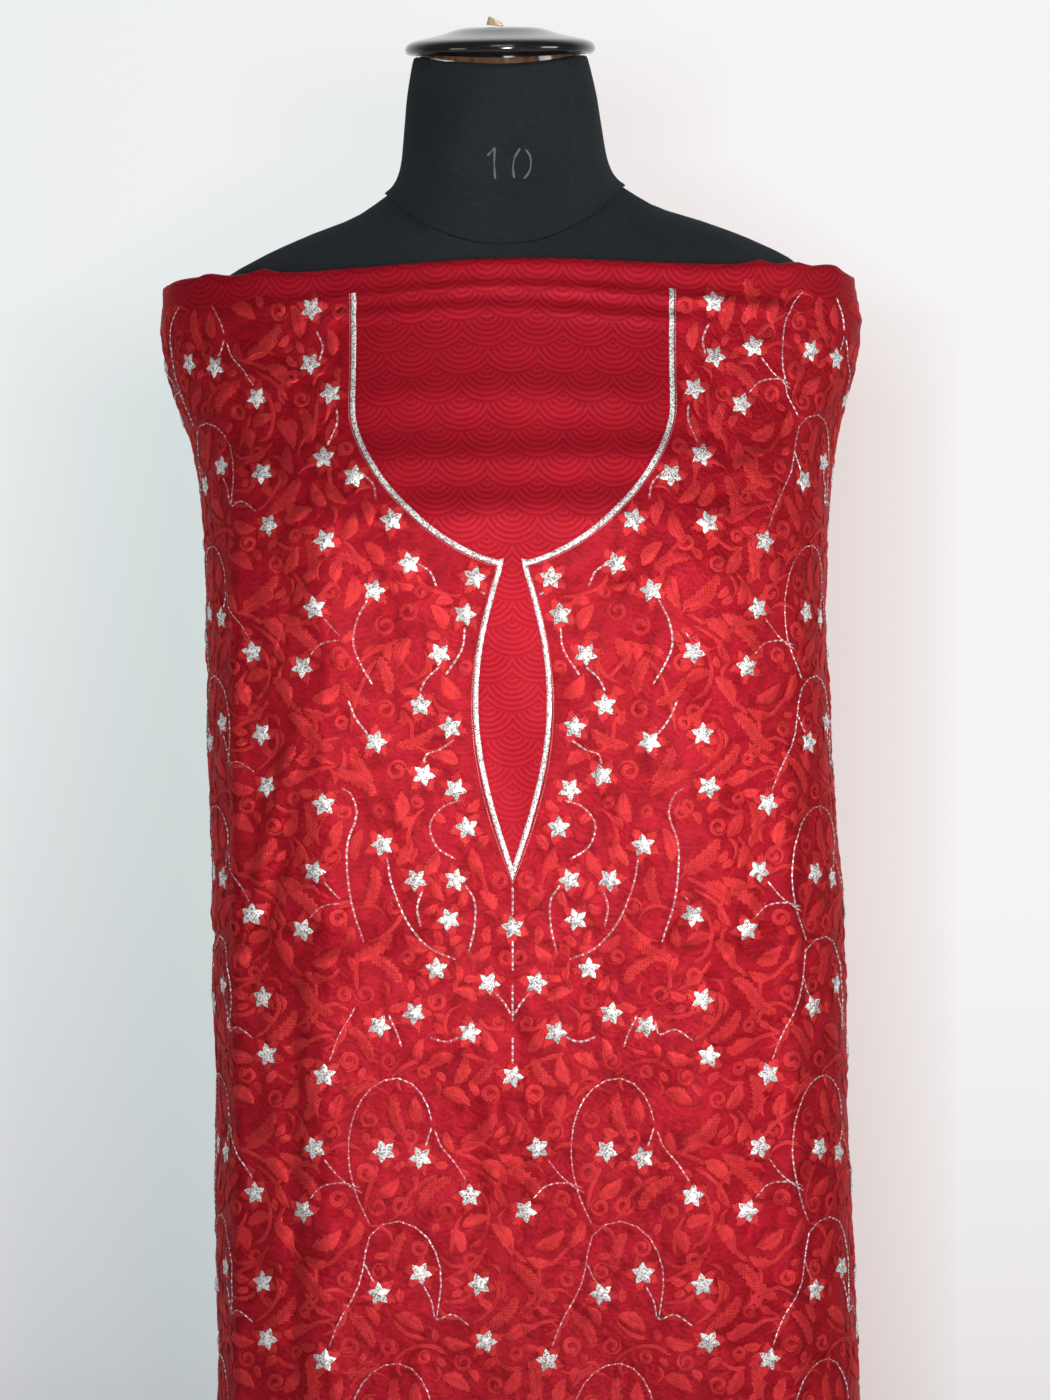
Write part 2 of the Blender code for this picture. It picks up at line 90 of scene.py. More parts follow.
class Sock:
    """A shader socket that builds Math nodes when it is used in an expression."""

    def __init__(self, kit: NodeKit, socket: bpy.types.NodeSocket) -> None:
        self.kit = kit
        self.socket = socket

    def _math(self, operation: str, *others: Sock | float) -> Sock:
        """A Math node of this socket and the others."""
        values = {i: value for i, value in enumerate((self, *others))}
        return self.kit.node("Math", {"operation": operation}, values)

    def __add__(self, other: Sock | float) -> Sock:
        """self + other."""
        return self._math("ADD", other)

    def __sub__(self, other: Sock | float) -> Sock:
        """self - other."""
        return self._math("SUBTRACT", other)

    def __mul__(self, other: Sock | float) -> Sock:
        """self * other."""
        return self._math("MULTIPLY", other)

    def __truediv__(self, other: Sock | float) -> Sock:
        """self / other."""
        return self._math("DIVIDE", other)

    def __rsub__(self, other: float) -> Sock:
        """other - self, for a plain number."""
        return self.kit.node("Math", {"operation": "SUBTRACT"}, {0: other, 1: self})

    def __lt__(self, other: Sock | float) -> Sock:
        """1 where self is less than other, or else 0."""
        return self._math("LESS_THAN", other)

    __radd__ = __add__
    __rmul__ = __mul__

    def fract(self) -> Sock:
        """The part after the decimal point."""
        return self._math("FRACT")

    def floor(self) -> Sock:
        """The whole number below."""
        return self._math("FLOOR")

    def modulo(self, other: float) -> Sock:
        """The remainder after division, never less than 0."""
        return self._math("FLOORED_MODULO", other)

    def cos(self) -> Sock:
        """The cosine of an angle in radians."""
        return self._math("COSINE")

    def absolute(self) -> Sock:
        """The value without its sign."""
        return self._math("ABSOLUTE")

    def power(self, exponent: float) -> Sock:
        """self to a power."""
        return self._math("POWER", exponent)

    def hypot(self, other: Sock) -> Sock:
        """The length of the line with these two sides."""
        return (self * self + other * other)._math("SQRT")

    def ramp(self, low: float, high: float, start: float = 0.0, end: float = 1.0) -> Sock:
        """Start below low, end above high, and smooth between."""
        settings = {"interpolation_type": "SMOOTHSTEP", "clamp": True}
        values = {"Value": self, "From Min": low, "From Max": high, "To Min": start, "To Max": end}
        return self.kit.node("MapRange", settings, values)

    def slope(self, low: float, high: float) -> Sock:
        """0 below low, 1 above high, and an even slope between."""
        values = {"Value": self, "From Min": low, "From Max": high}
        return self.kit.node("MapRange", {"clamp": True}, values)


class NodeKit:
    """Makes the nodes of one material, or of the world around the object."""

    def __init__(self, name: str, world: bool = False) -> None:
        """A new material or world with nothing in it but its output.

        Args:
            name: its name.
            world: whether it is a world and not a material.
        """
        self.made = (bpy.data.worlds if world else bpy.data.materials).new(name)
        self.made.use_nodes = True
        self.tree = self.made.node_tree
        self.tree.nodes.clear()
        self.output = self.tree.nodes.new(f"ShaderNodeOutput{'World' if world else 'Material'}")

    def node(self, kind: str, settings: dict | None = None, values: dict | None = None,
             out: int | str = 0) -> Sock:
        """One node.

        Args:
            kind: the node's type, without ShaderNode.
            settings: its properties, set first.
            values: a number, colour or Sock for each input, by name or place.
            out: which output is wanted.

        Returns:
            The wanted output.
        """
        made = self.tree.nodes.new(f"ShaderNode{kind}")
        for key, value in (settings or {}).items():
            setattr(made, key, value)
        for key, value in (values or {}).items():
            target = made.inputs[key]
            if isinstance(value, Sock):
                self.tree.links.new(value.socket, target)
            elif target.type == "RGBA" and len(value) == 3:
                target.default_value = (*value, 1.0)
            else:
                target.default_value = value
        return Sock(self, made.outputs[out])

    def mix(self, share: Sock | float, low: Sock | Colour, high: Sock | Colour,
            blend: str = "MIX") -> Sock:
        """A colour between low and high."""
        settings = {"data_type": "RGBA", "blend_type": blend}
        return self.node("Mix", settings, {0: share, 6: low, 7: high}, 2)

    def uv(self, name: str) -> Sock:
        """A UV map of the piece."""
        return self.node("UVMap", {"uv_map": name})

    def object_place(self) -> Sock:
        """The place on the piece, in metres."""
        return self.node("TexCoord", out="Object")

    def attribute(self, name: str) -> Sock:
        """A number that the mesh keeps for each of its points."""
        return self.node("Attribute", {"attribute_name": name}, out="Fac")

    def parts(self, vector: Sock) -> tuple[Sock, Sock, Sock]:
        """The three numbers of a vector."""
        made = self.tree.nodes.new("ShaderNodeSeparateXYZ")
        self.tree.links.new(vector.socket, made.inputs[0])
        return tuple(Sock(self, output) for output in made.outputs)

    def stretched(self, vector: Sock, x: float, y: float, z: float = 1.0) -> Sock:
        """A vector with each of its numbers made larger."""
        settings = {"operation": "MULTIPLY"}
        return self.node("VectorMath", settings, {0: vector, 1: (x, y, z)})

    def noise(self, place: Sock, scale: float, detail: float = 2.0, rough: float = 0.5) -> Sock:
        """Soft noise from 0 to 1."""
        values = {"Vector": place, "Scale": scale, "Detail": detail, "Roughness": rough}
        return self.node("TexNoise", None, values)

    def cells(self, place: Sock, scale: float, out: str = "Color") -> Sock:
        """Flat cells, each with a value of its own."""
        return self.node("TexVoronoi", None, {"Vector": place, "Scale": scale}, out)

    def bump(self, height: Sock, distance: float, strength: float = 1.0,
             normal: Sock | None = None) -> Sock:
        """A normal that follows a height.

        Args:
            height: the height.
            distance: how many metres a height of 1 is.
            strength: how much of it shows.
            normal: another bump below it.

        Returns:
            The normal.
        """
        values = {"Height": height, "Distance": distance, "Strength": strength}
        if normal:
            values["Normal"] = normal
        return self.node("Bump", None, values)

    def finish(self, **values: Sock | float | Colour) -> Material:
        """A Principled shader with these inputs, named with _ for each space."""
        inputs = {key.replace("_", " "): value for key, value in values.items()}
        shader = self.node("BsdfPrincipled", None, inputs)
        self.tree.links.new(shader.socket, self.output.inputs["Surface"])
        return self.made

    def surround(self, seen: Sock, glow: Sock) -> bpy.types.World:
        """A world whose colour in view is one thing and whose light on the object another.

        Args:
            seen: its colour in view.
            glow: the strength of its light.

        Returns:
            The world.
        """
        back = self.node("Background", None, {"Color": seen, "Strength": 1.0})
        light = self.node("Background", None, {"Color": (0.97, 0.98, 1.0), "Strength": glow})
        in_view = self.node("LightPath", out="Is Camera Ray")
        both = self.node("MixShader", None, {0: in_view, 1: light, 2: back})
        self.tree.links.new(both.socket, self.output.inputs["Surface"])
        return self.made


# ---- Finishes ----


# What the crimson satin of the cloth and of its thread have in common: a red gleam, softly coated.
SATIN_GLEAM = {"Specular_Tint": (0.95, 0.16, 0.20, 1.0), "Specular_IOR_Level": 0.15,
               "Coat_Weight": 0.11, "Coat_Roughness": 0.5}


def puckers(kit: NodeKit) -> Sock:
    """The height of the small hollows that close stitching draws the cloth into; the cloth and thread
    finishes also use it to paint shade into their colour, darker in the hollows.
    """
    place = kit.object_place()
    return kit.noise(place, 120.0, 2.0, 0.5) * 0.7 + kit.noise(place, 40.0, 1.0) * 0.6


@dataclass(frozen=True)
class SuitingFinish:
    """The crimson ground: a satin cloth with a woven pattern of hanging scallops."""

    dark: Colour = (0.228, 0.0010, 0.0045)
    light: Colour = (0.468, 0.0095, 0.0235)
    pitch: float = 0.032
    row_pitch: float = 0.0175
    radius: float = 0.0237
    ring_pitch: float = 0.00345

    def scallops(self, x: Sock, y: Sock) -> Sock:
        """The height of the woven rings, 0 to 1, hanging round the eye of each scale.

        Args:
            x: the place across the cloth.
            y: the place down the cloth.

        Returns:
            The height.
        """
        along, down = x / self.pitch, y / self.row_pitch
        offset = down.floor().modulo(2.0) * 0.5
        own_x = ((along - offset).fract() - 0.5) * self.pitch
        next_x = ((along + offset - 0.5).fract() - 0.5) * self.pitch
        fall = down.fract() * self.row_pitch
        above = next_x.hypot(fall + self.row_pitch)
        own = own_x.hypot(fall)
        below = next_x.hypot(fall - self.row_pitch)
        in_above = above < self.radius
        in_own = own < self.radius
        lower = own * in_own + below * (1.0 - in_own)
        reach = above * in_above + lower * (1.0 - in_above)
        return (reach * (math.tau / self.ring_pitch)).cos() * 0.5 + 0.5

    def build(self) -> Material:
        """The material, on the cloth's own UV map in metres."""
        kit = NodeKit("crimson_suiting")
        place = kit.uv("cloth")
        x, y, _ = kit.parts(place)
        rings = self.scallops(x, 0.0 - y)
        worked = kit.attribute("worked")
        slub = kit.noise(kit.stretched(place, 1.0, 9.0), 55.0, 3.0)
        cloud = kit.noise(place, 9.0, 3.0)
        thread = kit.noise(place, 850.0, 3.0, 0.65)
        # The fine thread grain in the tone is partly the fibres' own colour and partly a painted speckled
        # sheen.
        tone = (rings * (0.56 - worked * 0.38) + slub.ramp(0.3, 0.7) * 0.14
                + cloud.ramp(0.25, 0.75) * 0.16 + thread.ramp(0.3, 0.7) * 0.32)
        hollows = puckers(kit)
        # Painted shade: the worked cloth is darker in the pucker hollows and lighter on their crowns.
        tone = tone + (hollows.ramp(0.45, 0.80) - 0.10) * worked * 0.5
        normal = kit.bump(hollows, 0.0042, worked * 0.85)
        normal = kit.bump(rings * 0.60 + thread * 0.55, 0.00022, 0.8, normal)
        return kit.finish(
            Base_Color=kit.mix(tone, self.dark, self.light), Roughness=0.57 - rings * 0.06,
            Metallic=0.52, Normal=normal, **SATIN_GLEAM, Sheen_Weight=0.04, Sheen_Roughness=0.45,
            Sheen_Tint=(0.9, 0.30, 0.33))


@dataclass(frozen=True)
class SatinThreadFinish:
    """The red satin stitching of the leaves and stems."""

    dark: Colour = (0.360, 0.0060, 0.0100)
    light: Colour = (0.740, 0.0480, 0.0520)
    # The dark ground red at the motifs' edges, which also serves there as painted shade.
    ground: Colour = (0.270, 0.0010, 0.0050)

    def build(self) -> Material:
        """The material: stitches run across each motif on its own UV map, in millimetres."""
        kit = NodeKit("red_satin_thread")
        x, y, _ = kit.parts(kit.uv("stitch"))
        stitch = ((x + y.absolute() * 0.6) * (math.tau / 0.9)).cos() * 0.5 + 0.5
        pits = (x * (math.tau / 2.6)).cos() * (y * (math.tau / 2.8)).cos()
        stipple = kit.attribute("stipple") * pits.ramp(0.1, 0.9)
        vein = y.absolute().ramp(0.55, 0.10)
        tone = kit.attribute("tone")
        fray = kit.noise(kit.object_place(), 1000.0, 3.0, 0.6)
        hollows = puckers(kit)
        # Painted light in the thread's tone: lighter on each stitch's crown, darker in the pits, down the
        # leaf vein and in the pucker hollows; the fine fray is partly the thread's own colour and partly
        # a painted speckled sheen.
        share = (tone * 0.32 + 0.14 + fray.ramp(0.3, 0.7) * 0.35 + stitch * 0.10
                 - stipple * 0.35 - vein * 0.20 + hollows.ramp(0.45, 0.80) * 0.25)
        height = stitch * 0.2 + fray * 0.5 - stipple * 0.5 - vein * 0.4
        # Painted shade at each motif's edge, broken by the fray: the thread turns to the dark ground red,
        # partly the ground showing and partly shade where the cloth puckers round the stitching.
        edge_shade = (kit.attribute("edge") + (fray - 0.5) * 1.1).ramp(-0.05, 0.32)
        normal = kit.bump(hollows, 0.0042, 0.7)
        return kit.finish(
            Base_Color=kit.mix(edge_shade, self.ground, kit.mix(share, self.dark, self.light)),
            Roughness=0.53 + stipple * 0.10, Metallic=0.74, Normal=kit.bump(height, 0.0004, 0.7, normal),
            **SATIN_GLEAM, Sheen_Weight=0.05, Sheen_Roughness=0.4, Sheen_Tint=(1.0, 0.4, 0.4))


@dataclass(frozen=True)
class SilverThreadFinish:
    """Silver metal thread: bright, broken into small facets, each painted bright as a glint or dark as
    shade.
    """

    name: str = "silver_thread"
    facet: float = 1250.0
    gap_pitch: float = 0.0
    gap_share: float = 0.35
    bright: Colour = (0.93, 0.92, 0.90)
    shaded_facet: Colour = (0.30, 0.26, 0.245)

    def build(self) -> Material:
        """The material, with gaps along its length where gap_pitch, in millimetres, is set."""
        kit = NodeKit(self.name)
        place = kit.object_place()
        # Painted glitter: each facet takes the bright colour or the dark one, standing in for the glint
        # or the shade it would catch; the dark ones tend to sit lower in the bump.
        glitter_cells = kit.cells(place, self.facet)
        red, green, _ = kit.parts(glitter_cells)
        colour = kit.mix(red.ramp(0.24, 0.48), self.shaded_facet, self.bright)
        roughness = green * 0.25 + 0.30
        if self.gap_pitch:
            x, _, _ = kit.parts(kit.uv("stitch"))
            beat = ((x / self.gap_pitch).fract() - 0.5).absolute() * 2.0
            run = kit.noise(place, 26.0, 1.0).ramp(0.42, 0.62) * 0.45
            gap = (beat + run).ramp(1.0 - self.gap_share, 1.12 - self.gap_share)
            colour = kit.mix(gap * 0.85, colour, (0.62, 0.050, 0.060))
        normal = kit.bump(red + green, 0.0005, 0.5)
        return kit.finish(Base_Color=colour, Roughness=roughness, Metallic=0.60, Normal=normal)


@dataclass(frozen=True)
class JerseyFinish:
    """Black stretch jersey over padding."""

    colour: Colour = (0.0145, 0.0185, 0.0205)
    lint: Colour = (0.030, 0.036, 0.040)

    def build(self) -> Material:
        """The material, a fine rib that runs down the form with a little lint on it."""
        kit = NodeKit("black_jersey")
        place = kit.object_place()
        rib = kit.noise(kit.stretched(place, 1.0, 1.0, 0.12), 1500.0, 2.0)
        lint = kit.noise(place, 380.0, 4.0, 0.7)
        cloud = kit.noise(place, 14.0, 3.0)
        share = lint.ramp(0.45, 0.75) * 0.55 + cloud.ramp(0.3, 0.7) * 0.35
        normal = kit.bump(cloud, 0.002, 0.25)
        return kit.finish(
            Base_Color=kit.mix(share, self.colour, self.lint), Roughness=0.86,
            Normal=kit.bump(rib * 0.6 + lint * 0.4, 0.0004, 0.8, normal), Specular_IOR_Level=0.08,
            Sheen_Weight=0.02, Sheen_Roughness=0.5, Sheen_Tint=(0.72, 0.82, 0.90))


@dataclass(frozen=True)
class LacquerFinish:
    """A hard glossy coat over turned or pressed work."""

    name: str
    colour: Colour
    grain: Colour
    roughness: float = 0.10
    grain_scale: float = 40.0
    coat: float = 0.6

    def build(self) -> Material:
        """The material, with faint grain below the coat and dust and rub marks on it."""
        kit = NodeKit(self.name)
        place = kit.object_place()
        grain = kit.noise(kit.stretched(place, 1.0, 1.0, 0.25), self.grain_scale, 4.0, 0.65)
        rub = kit.noise(place, 160.0, 4.0, 0.7)
        return kit.finish(
            Base_Color=kit.mix(grain.ramp(0.35, 0.7), self.colour, self.grain),
            Roughness=rub.ramp(0.4, 0.8) * 0.12 + self.roughness, Normal=kit.bump(rub, 0.0002, 0.2),
            Coat_Weight=self.coat, Coat_Roughness=0.06)


@dataclass(frozen=True)
class PowderCoatFinish:
    """Satin black powder coat on the stand, with small orange-peel dimples."""

    colour: Colour = (0.018, 0.018, 0.020)
    worn: Colour = (0.050, 0.050, 0.054)

    def build(self) -> Material:
        """The material."""
        kit = NodeKit("black_powder_coat")
        place = kit.object_place()
        peel = kit.noise(place, 900.0, 2.0)
        scuff = kit.noise(kit.stretched(place, 1.0, 1.0, 0.3), 45.0, 5.0, 0.7)
        return kit.finish(
            Base_Color=kit.mix(scuff.ramp(0.55, 0.8), self.colour, self.worn),
            Roughness=scuff * 0.2 + 0.34, Metallic=0.3, Normal=kit.bump(peel, 0.0003, 0.5))


@dataclass(frozen=True)
class NickelFinish:
    """The nickel plate of the pins."""

    def build(self) -> Material:
        """The material, with fine drawing marks."""
        kit = NodeKit("nickel_pin")
        marks = kit.noise(kit.object_place(), 1200.0, 3.0)
        colour = kit.mix(marks, (0.62, 0.61, 0.60), (0.80, 0.79, 0.78))
        return kit.finish(Base_Color=colour, Roughness=marks * 0.2 + 0.15, Metallic=1.0)


@dataclass(frozen=True)
class StudioFloorFinish:
    """The plain pale floor."""

    def build(self) -> Material:
        """The material, slightly mottled."""
        kit = NodeKit("studio_floor")
        mottle = kit.noise(kit.object_place(), 3.0, 3.0)
        colour = kit.mix(mottle, (0.70, 0.71, 0.72), (0.76, 0.76, 0.765))
        return kit.finish(Base_Color=colour, Roughness=0.75)


# ---- Meshes ----


def smooth_step(low: float, high: float, value: Array | float) -> Array:
    """0 below low, 1 above high, and smooth between."""
    share = np.clip((np.asarray(value, float) - low) / (high - low), 0.0, 1.0)
    return share * share * (3 - 2 * share)


def bell(distance: Array | float, half_width: float) -> Array:
    """1 at no distance, falling away smoothly over the half width."""
    return np.exp(-((np.asarray(distance, float) / half_width) ** 2))


def unit(vectors: Array) -> Array:
    """The same directions with a length of 1."""
    return vectors / np.linalg.norm(vectors, axis=-1, keepdims=True)


def lengths_along(points: Array) -> Array:
    """How far along a line each of its points lies."""
    return np.concatenate([[0.0], np.cumsum(np.linalg.norm(np.diff(points, axis=0), axis=1))])


def rounded_reach(sine: Array, cosine: Array, side: Array, depth: Array,
                  power: Array | float) -> Array:
    """How far a rounded rectangle reaches from its middle.

    Args:
        sine: the sine of each angle, measured from the front.
        cosine: its cosine.
        side: the half width there.
        depth: the reach before or behind the middle.
        power: 2 for an oval, more for squarer corners.

    Returns:
        One reach for each angle.
    """
    return ((np.abs(sine) / side) ** power + (np.abs(cosine) / depth) ** power) ** (-1 / power)


def mesh_of(name: str, builder: Builder) -> Mesh:
    """A mesh made from a bmesh, which is freed."""
    mesh = bpy.data.meshes.new(name)
    builder.to_mesh(mesh)
    builder.free()
    return mesh


def join(whole: Builder, builder: Builder) -> None:
    """Adds one bmesh to another and frees it."""
    mesh = mesh_of("joined", builder)
    whole.from_mesh(mesh)
    bpy.data.meshes.remove(mesh)


def settle_at(builder: Builder, turn: Quaternion, place: Vector) -> None:
    """Turns a bmesh about the origin, then moves it to its place."""
    bmesh.ops.rotate(builder, cent=(0, 0, 0), matrix=turn.to_matrix(), verts=builder.verts)
    bmesh.ops.translate(builder, vec=place, verts=builder.verts)


def show(name: str, data: bpy.types.ID) -> Piece:
    """An object in the scene that shows this mesh, lamp or camera."""
    made = bpy.data.objects.new(name, data)
    bpy.context.scene.collection.objects.link(made)
    return made


def finish_object(name: str, builder: Builder, material: Material,
                  sharp: float = 40.0) -> Piece:
    """Makes a finished object from a bmesh.

    Args:
        name: the piece's name.
        builder: its mesh, in place; it is freed.
        material: its finish.
        sharp: the angle in degrees past which an edge isn't shaded smooth.

    Returns:
        The object, linked to the scene and riding on the root body.
    """
    mesh = mesh_of(name, builder)
    mesh.materials.append(material)
    mesh.shade_smooth()
    mesh.set_sharp_from_angle(angle=math.radians(sharp))
    made = show(name, mesh)
    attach(made, "root")
    LOG.info("%s: %d faces", name, len(mesh.polygons))
    return made


def grid(columns: int, rows: int) -> tuple[Builder, Array, Array]:
    """A flat grid of faces, to be moved into shape.

    Args:
        columns: faces along it.
        rows: faces across it.

    Returns:
        The bmesh, and each vertex's place along and across, both from 0 to 1.
    """
    builder = bmesh.new()
    bmesh.ops.create_grid(builder, x_segments=columns, y_segments=rows, size=0.5)
    builder.verts.ensure_lookup_table()
    flat = np.array([vert.co[:2] for vert in builder.verts])
    return builder, flat[:, 0] + 0.5, flat[:, 1] + 0.5


def points_of(mesh: Mesh) -> Array:
    """The places of the mesh's vertices, a row for each."""
    flat = np.empty(len(mesh.vertices) * 3)
    mesh.vertices.foreach_get("co", flat)
    return flat.reshape(-1, 3)


def set_points(mesh: Mesh, points: Array) -> None:
    """Puts the mesh's vertices at these points."""
    mesh.vertices.foreach_set("co", np.ascontiguousarray(points, np.float32).ravel())
    mesh.update()


def set_uv(mesh: Mesh, name: str, uv: Array) -> None:
    """Gives the mesh a UV map.

    Args:
        mesh: the mesh.
        name: the map's name.
        uv: a pair of numbers for each vertex.
    """
    layer = mesh.uv_layers.new(name=name)
    corners = np.empty(len(mesh.loops), np.int32)
    mesh.loops.foreach_get("vertex_index", corners)
    layer.uv.foreach_set("vector", np.ascontiguousarray(uv[corners], np.float32).ravel())


def set_numbers(mesh: Mesh, name: str, values: Array) -> None:
    """Gives each vertex of the mesh a number."""
    layer = mesh.attributes.new(name, "FLOAT", "POINT")
    layer.data.foreach_set("value", np.ascontiguousarray(values, np.float32))


FINE_STEPS = 12  # how finely a smooth path is worked out between two of its points


def smooth_path(points: Sequence[Sequence[float]], steps: int) -> Array:
    """A smooth curve through points, with even steps along it.

    Args:
        points: the points it passes through.
        steps: how many steps it is divided into.

    Returns:
        steps + 1 points.
    """
    knots = np.asarray(points, float)
    if len(knots) == 2:
        return knots[0] + (knots[1] - knots[0]) * np.linspace(0, 1, steps + 1)[:, None]
    ends = np.vstack([2 * knots[0] - knots[1], knots, 2 * knots[-1] - knots[-2]])
    fine = []
    for a, b, c, d in zip(ends, ends[1:], ends[2:], ends[3:]):
        t = np.linspace(0, 1, FINE_STEPS, endpoint=False)[:, None]
        fine.append(0.5 * (2 * b + (c - a) * t + (2 * a - 5 * b + 4 * c - d) * t**2
                           + (3 * b - a - 3 * c + d) * t**3))
    fine = np.vstack([*fine, knots[-1:]])
    along = lengths_along(fine)
    even = np.linspace(0, along[-1], steps + 1)
    return np.stack([np.interp(even, along, fine[:, k]) for k in range(knots.shape[1])], axis=1)


# ---- The drape ----


@dataclass(frozen=True)
class Level:
    """One level of the wrap: half widths to -X and +X, and depths before and behind the pole."""

    drop: float
    left: float
    right: float
    front: float
    back: float
    squareness: float


@dataclass(frozen=True)
class Crease:
    """A ridge or trough along a straight line on the cloth, from one place to another."""

    across: float
    drop: float
    to_across: float
    to_drop: float
    height: float
    half_width: float


@dataclass
class Drape:
    """The shape in which the cloth hangs, as a fine grid of points and outward directions."""

    width: float = 1.12
    length: float = 1.19
    design_shift: float = 0.0045
    lap_lift_top: float = 0.0095
    lap_lift_low: float = 0.0050
    lap_ramp: float = 0.040
    lap_clear: float = 0.006
    lap_settled: float = 0.14
    turn_in: float = 0.050
    step: float = 0.002
    spare: float = 0.004
    half_turns: int = 720
    back_squareness: float = 2.1
    top_z: float = 1.3665
    levels: tuple[Level, ...] = tuple(Level(*row) for row in (
        (0, 0.2225, 0.2255, 0.086, 0.098, 2), (0.03, 0.224, 0.2305, 0.0967, 0.099, 2.1),
        (0.06, 0.2195, 0.227, 0.1073, 0.1, 2.2), (0.085, 0.212, 0.2195, 0.1157, 0.101, 2.4),
        (0.11, 0.2035, 0.214, 0.124, 0.1025, 2.6), (0.135, 0.1985, 0.2105, 0.133, 0.103, 3.1),
        (0.165, 0.195, 0.207, 0.143, 0.103, 3.5), (0.215, 0.193, 0.205, 0.1457, 0.1025, 3.9),
        (0.31, 0.1905, 0.2095, 0.1435, 0.1015, 4.1), (0.4, 0.1885, 0.2165, 0.1395, 0.1005, 4.1),
        (0.54, 0.186, 0.2205, 0.1355, 0.099, 4.1), (0.73, 0.1855, 0.228, 0.133, 0.095, 4),
        (0.95, 0.187, 0.231, 0.133, 0.09, 3.9), (1.19, 0.189, 0.233, 0.1345, 0.085, 3.8),
    ))
    creases: tuple[Crease, ...] = tuple(Crease(*(number * MM for number in row)) for row in (
        # In millimetres. The rolled top edge and the ridges pulled level across the chest.
        (-200, 5, 200, 5, 2.6, 7), (-190, 25.5, -90, 19, 2.6, 3.6), (-100, 19.2, 10, 19.4, 2.8, 3.4),
        (0, 19.4, 100, 22.5, 2.8, 3.4), (90, 22.2, 190, 31, 2.6, 4), (-150, 31, 10, 34, 2, 4),
        (0, 34.5, 130, 39, 2, 4), (-120, 86, 110, 87, 2.2, 11), (-40, 94, -10, 94.8, 0.7, 1.8),
        (8, 96.5, 50, 94.5, 0.7, 1.8), (-120, 126.5, 20, 127, 2.5, 10.5), (0, 127, 110, 124, 2.5, 9.5),
        (-90, 157, 90, 155, 1.8, 8.5),
        # Fold marks from storing: two down the front and one across it.
        (-180, 170, -177, 1200, 4, 8.5), (178, 300, 181, 1200, 4, 8), (-280, 430, -50, 434, -2.4, 4.5),
        (-250, 414, -80, 417, 1.4, 6), (80, 434, 280, 438, -1.4, 4), (-240, 444, -60, 447, 1.2, 6),
        # Small pulls where the worked cloth is drawn towards the shoulders and under the bust.
        (-205, 50, -150, 75, 1.6, 6), (-212, 85, -140, 118, -1.7, 7), (-190, 120, -128, 158, 1.5, 6),
        (-150, 40, -122, 95, -1.3, 5), (-168, 150, -135, 235, -1.8, 6), (150, 55, 215, 45, 1.4, 6),
        (140, 95, 205, 78, -1.5, 6), (128, 140, 190, 112, 1.4, 6.5), (140, 185, 175, 235, -1.2, 7),
        (-105, 170, -60, 215, 0.9, 6), (-95, 440, -40, 470, -1.3, 6), (20, 455, 72, 440, -1.4, 5.5),
        (35, 520, 75, 600, -1.2, 6), (90, 480, 128, 560, 1.1, 7), (-85, 560, -60, 650, 1, 7),
        (105, 640, 60, 720, -1.2, 7),
        # The two long edges at which the flat front turns to the sides.
        (-119, 150, -117, 1220, 3.8, 24), (-118.5, 170, -116.5, 1220, 0.9, 6),
        (110, 170, 128, 1220, 4.8, 34), (158, 500, 166, 1220, 0.8, 6.5),
        # Drag lines low on the left and the press mark down the middle.
        (-132, 280, -172, 432, 3.2, 5.5), (-138, 350, -166, 436, -3.6, 5),
        (-139, 430, -141, 1190, -3.4, 6.5), (-192, 440, -188, 1220, 1.4, 5),
        (-14, 490, -11, 650, 2.4, 6), (2, 480, 5, 620, -2, 7),
        # Long soft hollows where the cloth falls from the bust and the hip.
        (-300, 240, -310, 1200, -4, 28), (310, 260, 315, 1200, -3.5, 26), (-410, 320, -400, 1200, 4, 33),
        (400, 320, 410, 1200, 4, 33),
        # Drag lines from the shoulder corners and below the bust.
        (-235, 30, -150, 150, 1.8, 10), (240, 35, 165, 150, 1.8, 10), (120, 395, 80, 435, -2.2, 6),
        (128, 402, 90, 446, 1.4, 7), (-115, 405, -75, 445, -1.2, 6), (-120, 240, -95, 330, -1, 8),
        (130, 255, 105, 330, -1, 8),
    ))
    corner_bumps: Path = (
        (-0.191, 0.0026), (-0.156, 0.0036), (0.163, 0.0034), (0.186, 0.0020), (0.214, 0.0026),
    )
    places: Array = field(init=False, repr=False)
    outwards: Array = field(init=False, repr=False)

    def __post_init__(self) -> None:
        """Works out the grid of points once."""
        reach = self.width / 2 + self.spare
        self.across = np.arange(-reach, reach + self.step / 20, self.step)
        self.drops = np.arange(0.0, self.length + self.step, self.step)
        self.places = np.stack([self._row(drop) for drop in self.drops])
        self.outwards = self._normals(self.places)
        lift = self._fold_height()
        self.places = self.places + self.outwards * lift[..., None]
        self.outwards = self._normals(self.places)

    def _section(self, drop: float) -> tuple[Array, Array]:
        """The closed section of the wrap.

        Args:
            drop: how far down it is.

        Returns:
            Its points, and the length along it from the centre front to each.
        """
        keys = [level.drop for level in self.levels]
        left, right, front, back, squareness = (
            float(np.interp(drop, keys, [getattr(level, name) for level in self.levels]))
            for name in ("left", "right", "front", "back", "squareness")
        )
        turn = np.linspace(-math.pi, math.pi, 2 * self.half_turns + 1)
        sine, cosine = np.sin(turn), np.cos(turn)
        side = np.where(sine < 0, left, right)
        depth = np.where(cosine > 0, front, back)
        power = self.back_squareness + (squareness - self.back_squareness) * np.clip(
            cosine * 2 + 0.5, 0, 1)
        radius = rounded_reach(sine, cosine, side, depth, power)
        points = np.stack([radius * sine, -radius * cosine], axis=1)
        along = lengths_along(points)
        return points, along - along[self.half_turns]

